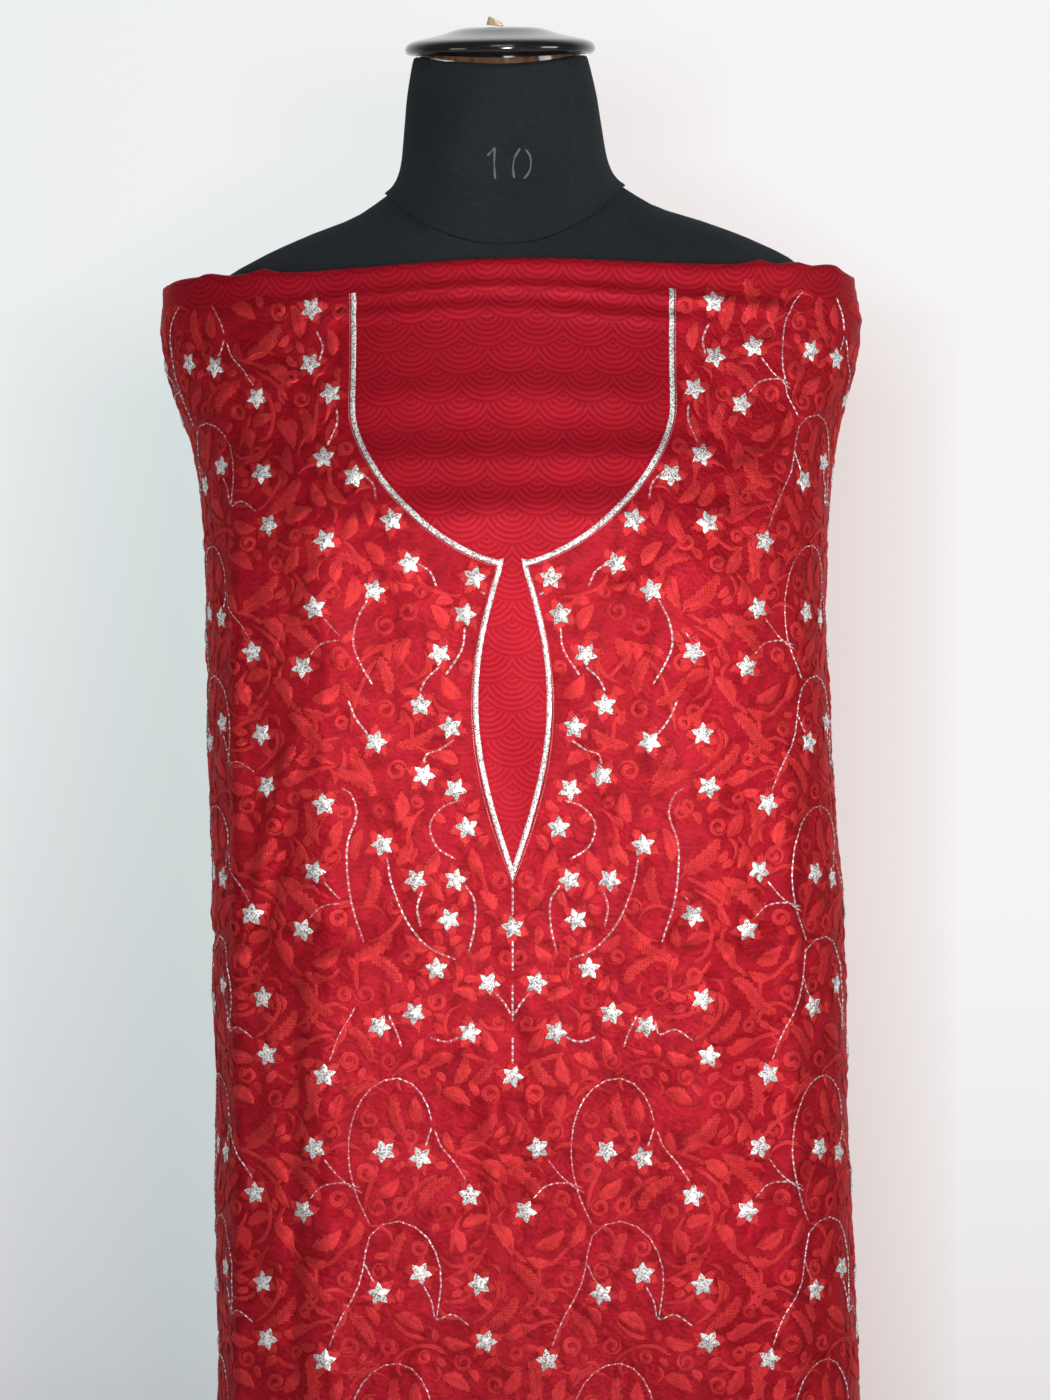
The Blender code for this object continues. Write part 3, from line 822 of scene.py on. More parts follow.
    def _row(self, drop: float) -> Array:
        """The points of one level of the cloth, with the lap lifted off the layer below it.

        Args:
            drop: how far down it is.

        Returns:
            A point for each place across.
        """
        points, along = self._section(drop)
        girth = along[-1] - along[0]
        place = self.across + self.design_shift
        wrapped = (place - along[0]) % girth + along[0]
        x, y = (np.interp(wrapped, along, points[:, k]) for k in (0, 1))
        ahead = np.minimum(wrapped + self.spare, along[-1])
        behind = np.maximum(wrapped - self.spare, along[0])
        run = [np.interp(ahead, along, points[:, k]) - np.interp(behind, along, points[:, k])
               for k in (0, 1)]
        size = np.hypot(*run)
        fall = smooth_step(self.turn_in, self.lap_settled, drop)
        lift = self.lap_lift_top + (self.lap_lift_low - self.lap_lift_top) * fall
        edge_below = girth - self.width / 2
        off = lift * smooth_step(edge_below - self.lap_ramp, edge_below - self.lap_clear, place)
        x, y = x + run[1] / size * off, y - run[0] / size * off
        return np.stack([x, y, self.top_z - drop + self._edge_rise(x, y, drop)], axis=1)

    def _edge_rise(self, x: Array, y: Array, drop: float) -> Array:
        """How the top edge peaks at the middle, falls round the corners and puckers near them.

        Args:
            x: where the points are.
            y: how far back they are.
            drop: how far down.

        Returns:
            How much higher each point is.
        """
        reach = np.where(x < 0, -x - 0.006, x)
        corner = smooth_step(0.205, 0.224, reach) + 0.5 * smooth_step(-0.02, 0.08, y)
        shape = 0.006 * bell(x, 0.09) + 0.020 * x - 0.0015 - 0.005 * corner
        fade = 1 - smooth_step(0.03, 0.20, drop)
        pucker = sum(height * bell(x - middle, 0.008) for middle, height in self.corner_bumps)
        return shape * fade + pucker * (y < 0.02) * (1 - smooth_step(0.0, 0.03, drop))

    def _fold_height(self) -> Array:
        """How far the creases and the cloth's own unevenness lift each point."""
        across, drop = np.meshgrid(self.across, self.drops)
        height = np.zeros_like(across)
        for crease in self.creases:
            run = np.array([crease.to_across - crease.across, crease.to_drop - crease.drop])
            length = float(np.hypot(*run))
            run = run / length
            away = np.stack([across - crease.across, drop - crease.drop], axis=-1)
            along = away @ run
            off = away @ np.array([-run[1], run[0]])
            ease = min(0.05, length * 0.3)
            starts = smooth_step(-ease / 2, ease, along)
            ends = smooth_step(length - ease, length + ease / 2, along)
            height += crease.height * bell(off, crease.half_width) * starts * (1 - ends)
        below = smooth_step(0.10, 0.22, drop)
        worked = smooth_step(0.10, 0.14, np.abs(across)) + below
        uneven = (0.0009 * np.sin(across * 41 + 1.3 * np.sin(drop * 17)) * np.sin(drop * 23 + 0.7)
                  + 0.0006 * np.sin(across * 97 + drop * 31) * np.sin(drop * 71 - across * 29 + 2.0))
        pucker = 0.00055 * np.sin(across * 290 + 2 * np.sin(drop * 90)) * np.sin(
            drop * 250 + 2 * np.sin(across * 120))
        return height + uneven * below + pucker * np.clip(worked, 0, 1)

    @staticmethod
    def _normals(points: Array) -> Array:
        """The outward direction at each point of a grid."""
        down, run = np.gradient(points, axis=0), np.gradient(points, axis=1)
        return unit(np.cross(down, run))

    def place(self, across: Array, drop: Array, lift: Array | float) -> Array:
        """Points on the cloth.

        Args:
            across: distances from the centre front.
            drop: distances below the top edge.
            lift: heights off the cloth's middle.

        Returns:
            One point for each.
        """
        u = (np.asarray(across, float) - self.across[0]) / self.step
        v = (np.asarray(drop, float) - self.drops[0]) / self.step
        i = np.clip(u.astype(int), 0, len(self.across) - 2)
        j = np.clip(v.astype(int), 0, len(self.drops) - 2)
        fu, fv = (u - i)[..., None], (v - j)[..., None]

        def between(grid_points: Array) -> Array:
            """The value between four points of a grid."""
            upper = grid_points[j, i] * (1 - fu) + grid_points[j, i + 1] * fu
            lower = grid_points[j + 1, i] * (1 - fu) + grid_points[j + 1, i + 1] * fu
            return upper * (1 - fv) + lower * fv

        lifted = unit(between(self.outwards)) * np.broadcast_to(lift, u.shape)[..., None]
        return between(self.places) + lifted


# ---- The cloth ----


@dataclass
class KameezLength:
    """The cloth itself: turned in at the top, wrapped, lapped at the back and open at the hem."""

    drape: Drape
    columns: int = 200
    thickness: float = 0.0005
    layer_pitch: float = 0.004
    turn_in_rows: int = 8
    chest_rows: int = 60
    waist_rows: int = 66
    skirt_rows: int = 90
    chest_drop: float = 0.17
    waist_drop: float = 0.50
    plain_top: float = 0.022
    plain_margin: float = 0.001

    def rows(self) -> tuple[Array, Array]:
        """The drop of each row of points, from the turned-in edge over the fold, and its lift."""
        inner = np.linspace(self.drape.turn_in, 0.002, self.turn_in_rows)
        fold = np.array([0.0])
        outer = np.concatenate([
            np.linspace(0.0015, self.chest_drop, self.chest_rows, endpoint=False),
            np.linspace(self.chest_drop, self.waist_drop, self.waist_rows, endpoint=False),
            np.linspace(self.waist_drop, self.drape.length, self.skirt_rows + 1),
        ])
        drops = np.concatenate([inner, fold, outer])
        lifts = np.concatenate([np.full(len(inner), -self.layer_pitch), [-self.layer_pitch / 2],
                                np.zeros(len(outer))])
        return drops, lifts

    def build(self, material: Material, neckline: Neckline) -> Piece:
        """Builds the cloth.

        Args:
            material: its finish.
            neckline: the worked neck opening, inside which the cloth is plain.

        Returns:
            The finished piece.
        """
        drops, lifts = self.rows()
        builder, along, down = grid(self.columns, len(drops) - 1)
        row = np.rint((1 - down) * (len(drops) - 1)).astype(int)
        across = (along - 0.5) * self.drape.width
        made = finish_object("kameez_cloth", builder, material, 180.0)
        set_points(made.data, self.drape.place(across, drops[row], lifts[row]))
        travel = np.where(lifts[row] < 0, -drops[row], drops[row])
        set_uv(made.data, "cloth", np.stack([across, -travel], axis=1))
        plain = [neckline.holds(x, drop, self.plain_margin) or drop < self.plain_top
                 for x, drop in zip(across, travel)]
        set_numbers(made.data, "worked", 1.0 - np.array(plain, float))
        wall = made.modifiers.new("cloth_wall", "SOLIDIFY")
        wall.thickness = self.thickness
        wall.offset = 0.0
        wall.use_even_offset = False
        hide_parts("kameez_length")
        return made


# ---- The stitched design ----


class Stitch(Enum):
    """The kinds of stitched shape, each with the columns and rows of its patch of faces."""

    LEAF = (6, 4)
    CATERPILLAR = (14, 4)
    SPIRAL = (20, 2)
    BUD = (4, 2)
    STEM = (10, 2)
    CORD = (16, 2)


LEAF, CATERPILLAR, SPIRAL, BUD = Stitch.LEAF, Stitch.CATERPILLAR, Stitch.SPIRAL, Stitch.BUD


def paths(*rows: Sequence[float]) -> tuple[Path, ...]:
    """Paths of (x, y) places, from rows of x and y in turn."""
    return tuple(tuple(zip(row[::2], row[1::2])) for row in rows)


@dataclass(frozen=True)
class Stem:
    """How a stem is worked: width and heights in millimetres, and its taper from 0 to 1."""

    width: float
    kind: Stitch = Stitch.CORD
    base: float = 0.6
    rise: float = 0.7
    taper: float = 0.0


@dataclass(frozen=True)
class Motif:
    """One leaf, caterpillar, spiral or bud: its middle, direction and size in millimetres."""

    kind: Stitch
    x: float
    y: float
    turn: float
    length: float
    width: float
    bend: float = 0.0

    def mirrored(self) -> Motif:
        """The same motif seen in a mirror that stands along the centre front."""
        return replace(self, x=-self.x, turn=180 - self.turn, bend=-self.bend)

    def moved(self, x: float, y: float) -> Motif:
        """The same motif further along the cloth."""
        return replace(self, x=self.x + x, y=self.y + y)


@dataclass(frozen=True)
class Neckline:
    """The worked neck opening and keyhole, drawn flat on the cloth in metres."""

    half_width: float = 0.1015
    top_drop: float = 0.0180
    straight_drop: float = 0.095
    low_drop: float = 0.193
    roundness: float = 1.58
    keyhole_gap: float = 0.0075
    keyhole_half_width: float = 0.0232
    point_drop: float = 0.387

    def half_path(self, outward: float = 0.0) -> list[Place]:
        """The +X half of the line, from its top end to the keyhole's point.

        Args:
            outward: how far outside the neckline it runs.

        Returns:
            Places on the cloth as (across, drop).
        """
        wide, low = self.half_width + outward, self.low_drop + outward
        path = [(wide, drop) for drop in np.linspace(self.top_drop, self.straight_drop, 30)]
        gap = self.keyhole_gap + outward
        for turn in np.linspace(0, math.pi / 2, 70)[1:]:
            x = wide * math.cos(turn) ** (2 / self.roundness)
            if x > gap + 0.002:
                depth = (low - self.straight_drop) * math.sin(turn) ** (2 / self.roundness)
                path.append((x, self.straight_drop + depth))
        path.append((gap, low - 0.002))
        point = self.point_drop + outward * 2.4
        start = math.asin(self.keyhole_gap / self.keyhole_half_width) / math.pi
        for share in np.linspace(start, 1, 60)[1:]:
            done = (share - start) / (1 - start)
            x = self.keyhole_half_width * math.sin(math.pi * share) + outward * (1 - done**6)
            path.append((x if done < 1 else 0.0, low + (point - low) * done))
        return path

    def whole_path(self, outward: float = 0.0) -> Array:
        """The whole line, from the left end round the keyhole to the right end."""
        half = self.half_path(outward)
        left = [(-x, drop) for x, drop in half]
        return np.array(left + list(reversed(half[:-1])))

    def holds(self, across: float, drop: float, margin: float) -> bool:
        """Whether a place lies in the plain cloth inside the neckline.

        Args:
            across: its distance from the centre front.
            drop: its distance from the top.
            margin: how far outside the line still counts.

        Returns:
            True if it does.
        """
        x = abs(across)
        wide, deep = self.half_width + margin, self.low_drop - self.straight_drop + margin
        if drop < self.straight_drop:
            return x < wide
        below = (drop - self.straight_drop) / deep
        if below < 1 and (x / wide) ** self.roundness + below**self.roundness < 1:
            return True
        share = (drop - self.low_drop) / (self.point_drop - self.low_drop)
        if share > 1 + margin / 0.1:
            return False
        bow = math.sin(math.pi * min(1.0, max(0.0, 0.1 + 0.9 * share)))
        return x < self.keyhole_half_width * bow + margin


@dataclass(frozen=True)
class DesignCell:
    """One repeat of the trailing design, in millimetres from its upper left corner."""

    width: float = 140.0
    height: float = 180.0
    stars: Path = (
        (34, 57), (57, 61), (-9, 55), (-17, 95), (88, 85),
        (31, 147), (57, 134), (94, 141), (98, 177), (-3, 189),
    )
    silver: tuple[Path, ...] = paths(
        (25, 103, 18, 88, 13, 70, 12, 52, 15, 34, 24, 19, 38, 11, 51, 14, 60, 25, 64, 38),
        (66, 44, 70, 54, 79, 65, 86, 76),
        (0, 180, 6, 164, 14, 150, 20, 136, 22, 122, 26, 109, 36, 102, 48, 102, 60, 110, 67, 122, 70,
         136, 69, 150, 67, 163), (59, 142, 64, 152, 67, 163, 77, 160, 88, 167),
        (-3, 62, 5, 72, 13, 79, 20, 83), (-12, 87, -4, 79, 8, 77, 19, 80), (64, 42, 62, 48, 60, 54),
        (22, 128, 25, 135, 28, 140),
    )
    red: tuple[Path, ...] = paths(
        (22, 96, 24, 82, 31, 66), (72, 56, 86, 60, 97, 66), (74, 58, 90, 55, 104, 44),
        (88, 66, 104, 78, 112, 94), (116, 30, 124, 42, 128, 58), (6, 163, -6, 165, -16, 170),
        (6, 163, -8, 156, -16, 146), (70, 140, 84, 132, 96, 124), (69, 152, 82, 152, 90, 147),
        (104, 100, 112, 116, 124, 128), (40, 164, 48, 172, 60, 176), (84, 96, 78, 108, 76, 122),
        (104, 8, 112, 14, 122, 14), (118, 148, 112, 160, 104, 168), (16, 30, 4, 38, -6, 48, -12, 62),
        (22, 109, 10, 118, 0, 128, -10, 126), (36, 102, 44, 96, 50, 84, 60, 76, 70, 72),
        (86, 76, 96, 84, 100, 98, 96, 112, 86, 118), (112, 94, 104, 84, 110, 72, 122, 66, 130, 62),
        (67, 122, 78, 130, 92, 126, 100, 116), (130, 124, 132, 138, 128, 150, 118, 160),
        (38, 11, 50, 2, 64, 0, 74, 6), (14, 150, 4, 144, -6, 148, -12, 158),
        (88, 167, 98, 160, 106, 148, 104, 136),
    )
    motifs: tuple[Motif, ...] = tuple(Motif(*row) for row in (
        (CATERPILLAR, 44, 34, 104, 31, 9.5, 0.1), (LEAF, 55, 31, 98, 19, 9, 0.08),
        (LEAF, 36, 80, 38, 20, 9.5, -0.1), (CATERPILLAR, 66, 84, 44, 31, 10, 0.12),
        (LEAF, 79, 24, -28, 22, 10, 0.12), (CATERPILLAR, 93, 43, 40, 32, 10, -0.1),
        (LEAF, 103, 71, -42, 24, 10.5, 0.14), (CATERPILLAR, 123, 78, -42, 32, 10, 0.1),
        (LEAF, 114, 22, 62, 21, 9.5, -0.1), (LEAF, 6, 29, 76, 19, 9, 0.1),
        (CATERPILLAR, -13, 22, 96, 28, 9.5, -0.1), (LEAF, -2, 112, 32, 23, 10, -0.14),
        (CATERPILLAR, 43, 121, 74, 28, 9.5, 0.1), (CATERPILLAR, -8, 141, -42, 31, 10, -0.1),
        (LEAF, 80, 114, -66, 19, 9.5, 0.1), (LEAF, 108, 113, -58, 25, 10, 0.14),
        (CATERPILLAR, 123, 138, -46, 29, 10, 0.1), (CATERPILLAR, 108, 158, 44, 29, 10, -0.12),
        (LEAF, 50, 166, -32, 23, 10, 0.12), (LEAF, 80, 177, -14, 20, 9, -0.12),
        (CATERPILLAR, 19, 170, -56, 29, 9.5, 0.1), (LEAF, -19, 172, 24, 20, 9, 0.12),
        (LEAF, 92, 102, 18, 20, 9, 0.1), (SPIRAL, 25, 37, 30, 6.6, 3.4, 1),
        (SPIRAL, 50, 49, 200, 6, 3.2, -1), (SPIRAL, 30, 92, 90, 6.4, 3.3, 1),
        (SPIRAL, 45, 91, 90, 7.2, 3.6, -1), (SPIRAL, 1, 44, 250, 6.6, 3.3, 1),
        (SPIRAL, 56, 118, 120, 6.4, 3.3, -1), (SPIRAL, 31, 133, 20, 5.6, 3, 1),
        (SPIRAL, 88, 126, 160, 6.4, 3.3, 1), (SPIRAL, 37, 180, 60, 6.4, 3.3, -1),
        (SPIRAL, 121, 104, 300, 6.8, 3.4, 1), (SPIRAL, 104, 24, 10, 6.2, 3.2, -1),
        (SPIRAL, 84, 10, 80, 6, 3.2, 1), (BUD, 23, 49, 110, 9, 5), (BUD, 44, 66, 40, 9, 5),
        (BUD, 70, 66, 0, 10, 5.5), (BUD, 84, 71, -20, 10, 5.5), (BUD, 110, 50, 30, 10, 5),
        (BUD, 126, 34, 80, 10, 5.5), (BUD, 132, 18, 20, 10, 5.5), (BUD, 12, 96, 140, 9, 5),
        (BUD, 54, 76, -60, 9, 5), (BUD, 66, 106, 60, 9, 5), (BUD, 103, 92, -80, 9, 5),
        (BUD, 44, 148, 90, 10, 5.5), (BUD, 80, 147, 20, 9, 5), (BUD, 14, 128, 200, 9, 5),
        (BUD, 10, 156, -30, 9, 5), (BUD, 66, 173, -80, 9, 5), (BUD, 113, 174, -30, 10, 5.5),
        (BUD, -5, 158, 150, 9, 5), (BUD, 70, 10, 130, 9, 5), (BUD, 20, 8, 60, 9, 5),
    ))


@dataclass(frozen=True)
class Yoke:
    """The panel worked round the neck and keyhole, mirrored about the centre front."""

    half_width: float = 108.0
    shoulder_half_width: float = 145.0
    shoulder_drop: float = 160.0
    taper_drop: float = 440.0
    point_drop: float = 535.0
    pair_stars: Path = (
        (129, 26), (130, 61), (116, 82), (120, 124), (100, 137), (76, 165), (65, 192), (87, 209),
        (24, 201), (30, 224), (46, 249), (58, 281), (39, 295), (86, 304), (56, 325), (36, 334),
        (29, 358), (82, 369), (61, 391), (36, 391), (40, 416), (48, 447), (15, 456), (27, 487),
        (62, 475), (84, 483),
    )
    middle_stars: Path = ((0, 421), (0, 515))
    pair_silver: tuple[Path, ...] = paths(
        (110, 332, 102, 336, 98, 350, 104, 370, 102, 402, 94, 430),
        (91, 214, 98, 228, 100, 243, 95, 256, 88, 268), (103, 278, 98, 290, 91, 299),
        (79, 377, 76, 394, 66, 418, 52, 434, 36, 441), (30, 394, 24, 404, 24, 420, 28, 438),
        (37, 303, 46, 309, 54, 312, 56, 318), (33, 341, 44, 345, 52, 356, 48, 370, 36, 378),
        (30, 232, 32, 246, 42, 262), (46, 257, 54, 264, 58, 272), (20, 210, 12, 214, 10, 222),
        (60, 192, 52, 197, 48, 206), (57, 398, 60, 408, 58, 420), (11, 462, 5, 469, 1, 476),
        (33, 490, 42, 493, 52, 490), (78, 476, 72, 490, 68, 504), (96, 134, 88, 142, 86, 152),
        (112, 92, 112, 102, 118, 116), (126, 40, 122, 50, 124, 60),
    )
    middle_silver: tuple[Path, ...] = paths(
        (0, 391, 0, 402, 0, 413), (0, 429, 0, 438, 0, 448), (0, 456, 0, 468, 0, 480),
        (0, 490, 0, 499, 0, 507),
    )
    pair_motifs: tuple[Motif, ...] = tuple(Motif(*row) for row in (
        (LEAF, 47, 226, 60, 20, 10, 0.12), (SPIRAL, 66, 222, 60, 7, 3.5, 1),
        (SPIRAL, 80, 231, 120, 7, 3.5, -1), (LEAF, 68, 248, -70, 22, 10.5, 0.12),
        (CATERPILLAR, 82, 262, 70, 28, 9.5, 0.1), (LEAF, 38, 269, 50, 21, 10.5, -0.14),
        (SPIRAL, 80, 284, 0, 6.5, 3.3, 1), (CATERPILLAR, 94, 318, 60, 27, 9.5, -0.1),
        (SPIRAL, 73, 322, 200, 7, 3.5, -1), (LEAF, 72, 345, 100, 22, 10.5, 0.12),
        (LEAF, 42, 315, 20, 18, 9, 0.12), (BUD, 46, 352, 40, 11, 6), (LEAF, 52, 380, 120, 20, 9.5, 0.12),
        (LEAF, 22, 379, 70, 20, 9, -0.12), (CATERPILLAR, 90, 395, 100, 28, 9.5, 0.12),
        (SPIRAL, 75, 408, 300, 6.5, 3.4, 1), (LEAF, 16, 404, 50, 18, 8.5, 0.1),
        (LEAF, 60, 430, 30, 20, 9, -0.12), (LEAF, 20, 437, 140, 18, 8, 0.1),
        (CATERPILLAR, 80, 448, 40, 27, 9.5, 0.1), (SPIRAL, 93, 463, 20, 6.8, 3.4, -1),
        (LEAF, 30, 464, 20, 18, 8.5, 0.12), (LEAF, 14, 492, 60, 18, 8.5, -0.1),
        (LEAF, 46, 506, -30, 20, 9, 0.1), (CATERPILLAR, 20, 512, 130, 24, 9, 0.1),
        (BUD, 64, 458, 90, 10, 5), (BUD, 45, 478, 30, 10, 5), (BUD, 66, 207, 0, 10, 5),
        (LEAF, 88, 186, 50, 21, 9.5, 0.1), (LEAF, 104, 168, 110, 21, 9.5, 0.12),
        (CATERPILLAR, 100, 192, 20, 26, 9, 0.1), (LEAF, 122, 148, 60, 20, 9, -0.12),
        (LEAF, 117, 106, 100, 18, 8.5, 0.1), (CATERPILLAR, 134, 102, 80, 26, 9, 0.1),
        (LEAF, 117, 48, 80, 20, 8.5, 0.1), (BUD, 137, 50, 60, 10, 5), (BUD, 112, 68, 100, 10, 5),
        (SPIRAL, 136, 84, 80, 6, 3.2, 1),
    ))
    pair_red: tuple[Path, ...] = paths(
        (30, 212, 40, 212, 56, 206, 60, 198), (56, 262, 62, 262, 76, 246, 88, 244),
        (100, 260, 92, 250, 84, 246, 70, 240), (102, 300, 99, 280, 92, 262, 84, 250),
        (46, 316, 62, 304, 64, 290, 74, 292), (54, 345, 62, 352, 66, 366, 64, 382),
        (24, 372, 20, 386, 16, 400), (94, 430, 84, 428, 74, 420, 68, 410), (94, 430, 98, 446, 98, 462),
        (36, 441, 34, 452, 38, 462), (4, 486, 16, 484, 22, 478), (6, 510, 20, 504, 34, 500),
        (108, 176, 100, 184, 92, 200), (112, 150, 116, 136, 114, 126), (124, 76, 126, 96, 128, 112),
    )

    def holds(self, x: float, y: float) -> bool:
        """Whether a place belongs to the yoke.

        Args:
            x: where it is across the cloth, in millimetres.
            y: how far down it is.

        Returns:
            True if it does, False if it belongs to the trailing design.
        """
        if y < self.shoulder_drop:
            return abs(x) < self.shoulder_half_width
        if y > self.point_drop:
            return False
        share = max(0.0, (y - self.taper_drop) / (self.point_drop - self.taper_drop))
        return abs(x) < self.half_width * (1 - share**2)


@dataclass(frozen=True)
class Patch:
    """One stitched patch: its template, its flat points in millimetres and the look of each."""

    key: object
    flat: Array
    uv: Array
    tone: Array
    stipple: Array
    edge: Array


class StitchWork:
    """Patches of stitched faces, collected flat and then laid on the cloth as one piece."""

    def __init__(self) -> None:
        """Starts with nothing stitched."""
        self.templates: dict[object, Mesh] = {}
        self.patches: list[Patch] = []
        self.random = np.random.default_rng(17)

    def _template(self, key: object, make: Callable[[], Builder]) -> Mesh:
        """The mesh of one kind of patch, made once."""
        if key not in self.templates:
            self.templates[key] = mesh_of(f"patch_{len(self.templates)}", make())
        return self.templates[key]

    def _keep(self, key: object, flat: Array, uv: Array, stipple: float,
              edge: Array) -> None:
        """Adds one patch's points, in millimetres: across, drop and height."""
        tone = np.full(len(flat), self.random.uniform(0.25, 1.0))
        self.patches.append(Patch(key, flat, uv, tone, np.full(len(flat), stipple), edge))

    def patch(self, columns: int, rows: int,
              shape: Callable[[Array, Array], tuple[Array, ...]],
              stipple: float = 0.0) -> None:
        """Stitches a patch that has a length and a width.

        Args:
            columns: faces along it.
            rows: faces across it.
            shape: gives across, drop, height, and the distances along and across the stitches,
                from the place along, 0 to 1, and across, -1 to 1.
            stipple: 1 for a pitted surface.
        """
        key = (columns, rows)
        co = points_of(self._template(key, lambda: grid(columns, rows)[0]))
        x, y, height, run, side = shape(co[:, 0] + 0.5, co[:, 1] * 2)
        edge = np.minimum(1 - np.abs(co[:, 1] * 2), np.sin(math.pi * (co[:, 0] + 0.5)) * 1.5)
        flat, uv = np.stack([x, y, height], axis=1), np.stack([run, side], axis=1)
        self._keep(key, flat, uv, stipple, edge)

    def motif(self, motif: Motif, base: float = 0.45, rise: float = 0.60) -> None:
        """Stitches one motif.

        Args:
            motif: what and where.
            base: the height of its edges in millimetres.
            rise: how much higher its middle is.
        """
        angle = math.radians(motif.turn)
        length, half = motif.length, motif.width * 0.56
        kind = motif.kind

        def shape(u: Array, v: Array) -> tuple[Array, ...]:
            """Places the patch's points on the flat cloth."""
            swell = np.sin(math.pi * np.clip(u, 0.001, 0.999))
            if kind is SPIRAL:
                turn = angle + motif.bend * u * 2.9 * math.pi
                reach = length * (1 - 0.72 * u)
                wide = half * (0.45 + 0.75 * u) * np.clip(u * 6, 0.35, 1) * 0.95
                r = reach + v * wide * -motif.bend
                x, y = r * np.cos(turn), -r * np.sin(turn)
                run = u * length * 5
            else:
                along = length * (u - 0.5)
                bow = motif.bend * length * 4 * (0.25 - (u - 0.5) ** 2)
                if kind is CATERPILLAR:
                    tooth = 0.86 + 0.14 * np.cos(u * math.tau * 7)
                    wide = half * swell**0.35 * tooth
                elif kind is LEAF:
                    wide = half * swell**0.8 * (1.25 - 0.55 * u)
                else:
                    wide = half * swell**0.6
                side = bow + v * wide
                x = along * math.cos(angle) - side * math.sin(angle)
                y = -(along * math.sin(angle) + side * math.cos(angle))
                run = along
            dome = (1 - v**2) * swell**0.5
            return motif.x + x, motif.y + y, base + rise * dome, run, v * wide

        self.patch(*kind.value, shape, 1.0 if kind is CATERPILLAR else 0.0)

    def line(self, points: Iterable[Place], stem: Stem) -> None:
        """Stitches a stem along a smooth curve.

        Args:
            points: places on the flat cloth in millimetres.
            stem: how it is worked.
        """
        columns, rows = stem.kind.value
        path = smooth_path(list(points), columns)
        run = unit(np.gradient(path, axis=0))
        along = lengths_along(path)

        def shape(u: Array, v: Array) -> tuple[Array, ...]:
            """Places the patch's points on the flat cloth."""
            i = np.rint(u * columns).astype(int)
            ends = np.where((u < 0.01) | (u > 0.99), 0.6, 1)
            wide = stem.width / 2 * (1 - stem.taper * (1 - u)) * ends
            x = path[i, 0] + run[i, 1] * v * wide
            y = path[i, 1] - run[i, 0] * v * wide
            return x, y, stem.base + stem.rise * (1 - v**2), along[i], v * wide

        self.patch(columns, rows, shape)

    def star(self, x: float, y: float, radius: float, turn: float, base: float, rise: float) -> None:
        """Stitches a blunt star of five points.

        Args:
            x: where it is across the cloth, in millimetres.
            y: where it is down the cloth.
            radius: from its middle to its points.
            turn: how far it is turned, in degrees.
            base: the height of its edge.
            rise: how much higher its middle is.
        """
        def make() -> Builder:
            """A disc of three rings."""
            builder = bmesh.new()
            bmesh.ops.create_circle(builder, cap_ends=True, cap_tris=True, segments=20, radius=1.0)
            spokes = [edge for edge in builder.edges if not edge.is_boundary]
            bmesh.ops.subdivide_edges(builder, edges=spokes, cuts=1)
            return builder

        co = points_of(self._template("star", make))
        reach = np.hypot(co[:, 0], co[:, 1])
        angle = np.arctan2(co[:, 1], co[:, 0])
        point = np.abs(((angle * 5 / math.tau) % 1.0) - 0.5) * 2
        outline = 0.53 + 0.47 * point**1.15
        turned = angle + math.radians(turn)
        r = radius * outline * reach
        height = base + rise * (1 - reach**2.2)
        flat = np.stack([x + r * np.cos(turned), y - r * np.sin(turned), height], axis=1)
        self._keep("star", flat, np.stack([r, angle * radius], axis=1), 0.0, 1 - reach)

    def lay(self, name: str, drape: Drape, material: Material) -> Piece:
        """Joins the patches and lays them on the cloth.

        Args:
            name: the piece's name.
            drape: the cloth's shape.
            material: the thread.

        Returns:
            The finished piece.
        """
        builder = bmesh.new()
        for patch in self.patches:
            builder.from_mesh(self.templates[patch.key])
        made = finish_object(name, builder, material, 60.0)
        flat = np.vstack([patch.flat for patch in self.patches]) * MM
        set_points(made.data, drape.place(flat[:, 0], flat[:, 1], flat[:, 2]))
        set_uv(made.data, "stitch", np.vstack([patch.uv for patch in self.patches]))
        for look in ("tone", "stipple", "edge"):
            values = np.concatenate([getattr(patch, look) for patch in self.patches])
            set_numbers(made.data, look, values)
        for mesh in self.templates.values():
            bpy.data.meshes.remove(mesh)
        return made


@dataclass(frozen=True)
class FillerSize:
    """One size of small motif that fills the gaps, and how often it is tried."""

    kind: Stitch
    length: float
    width: float
    tries: int


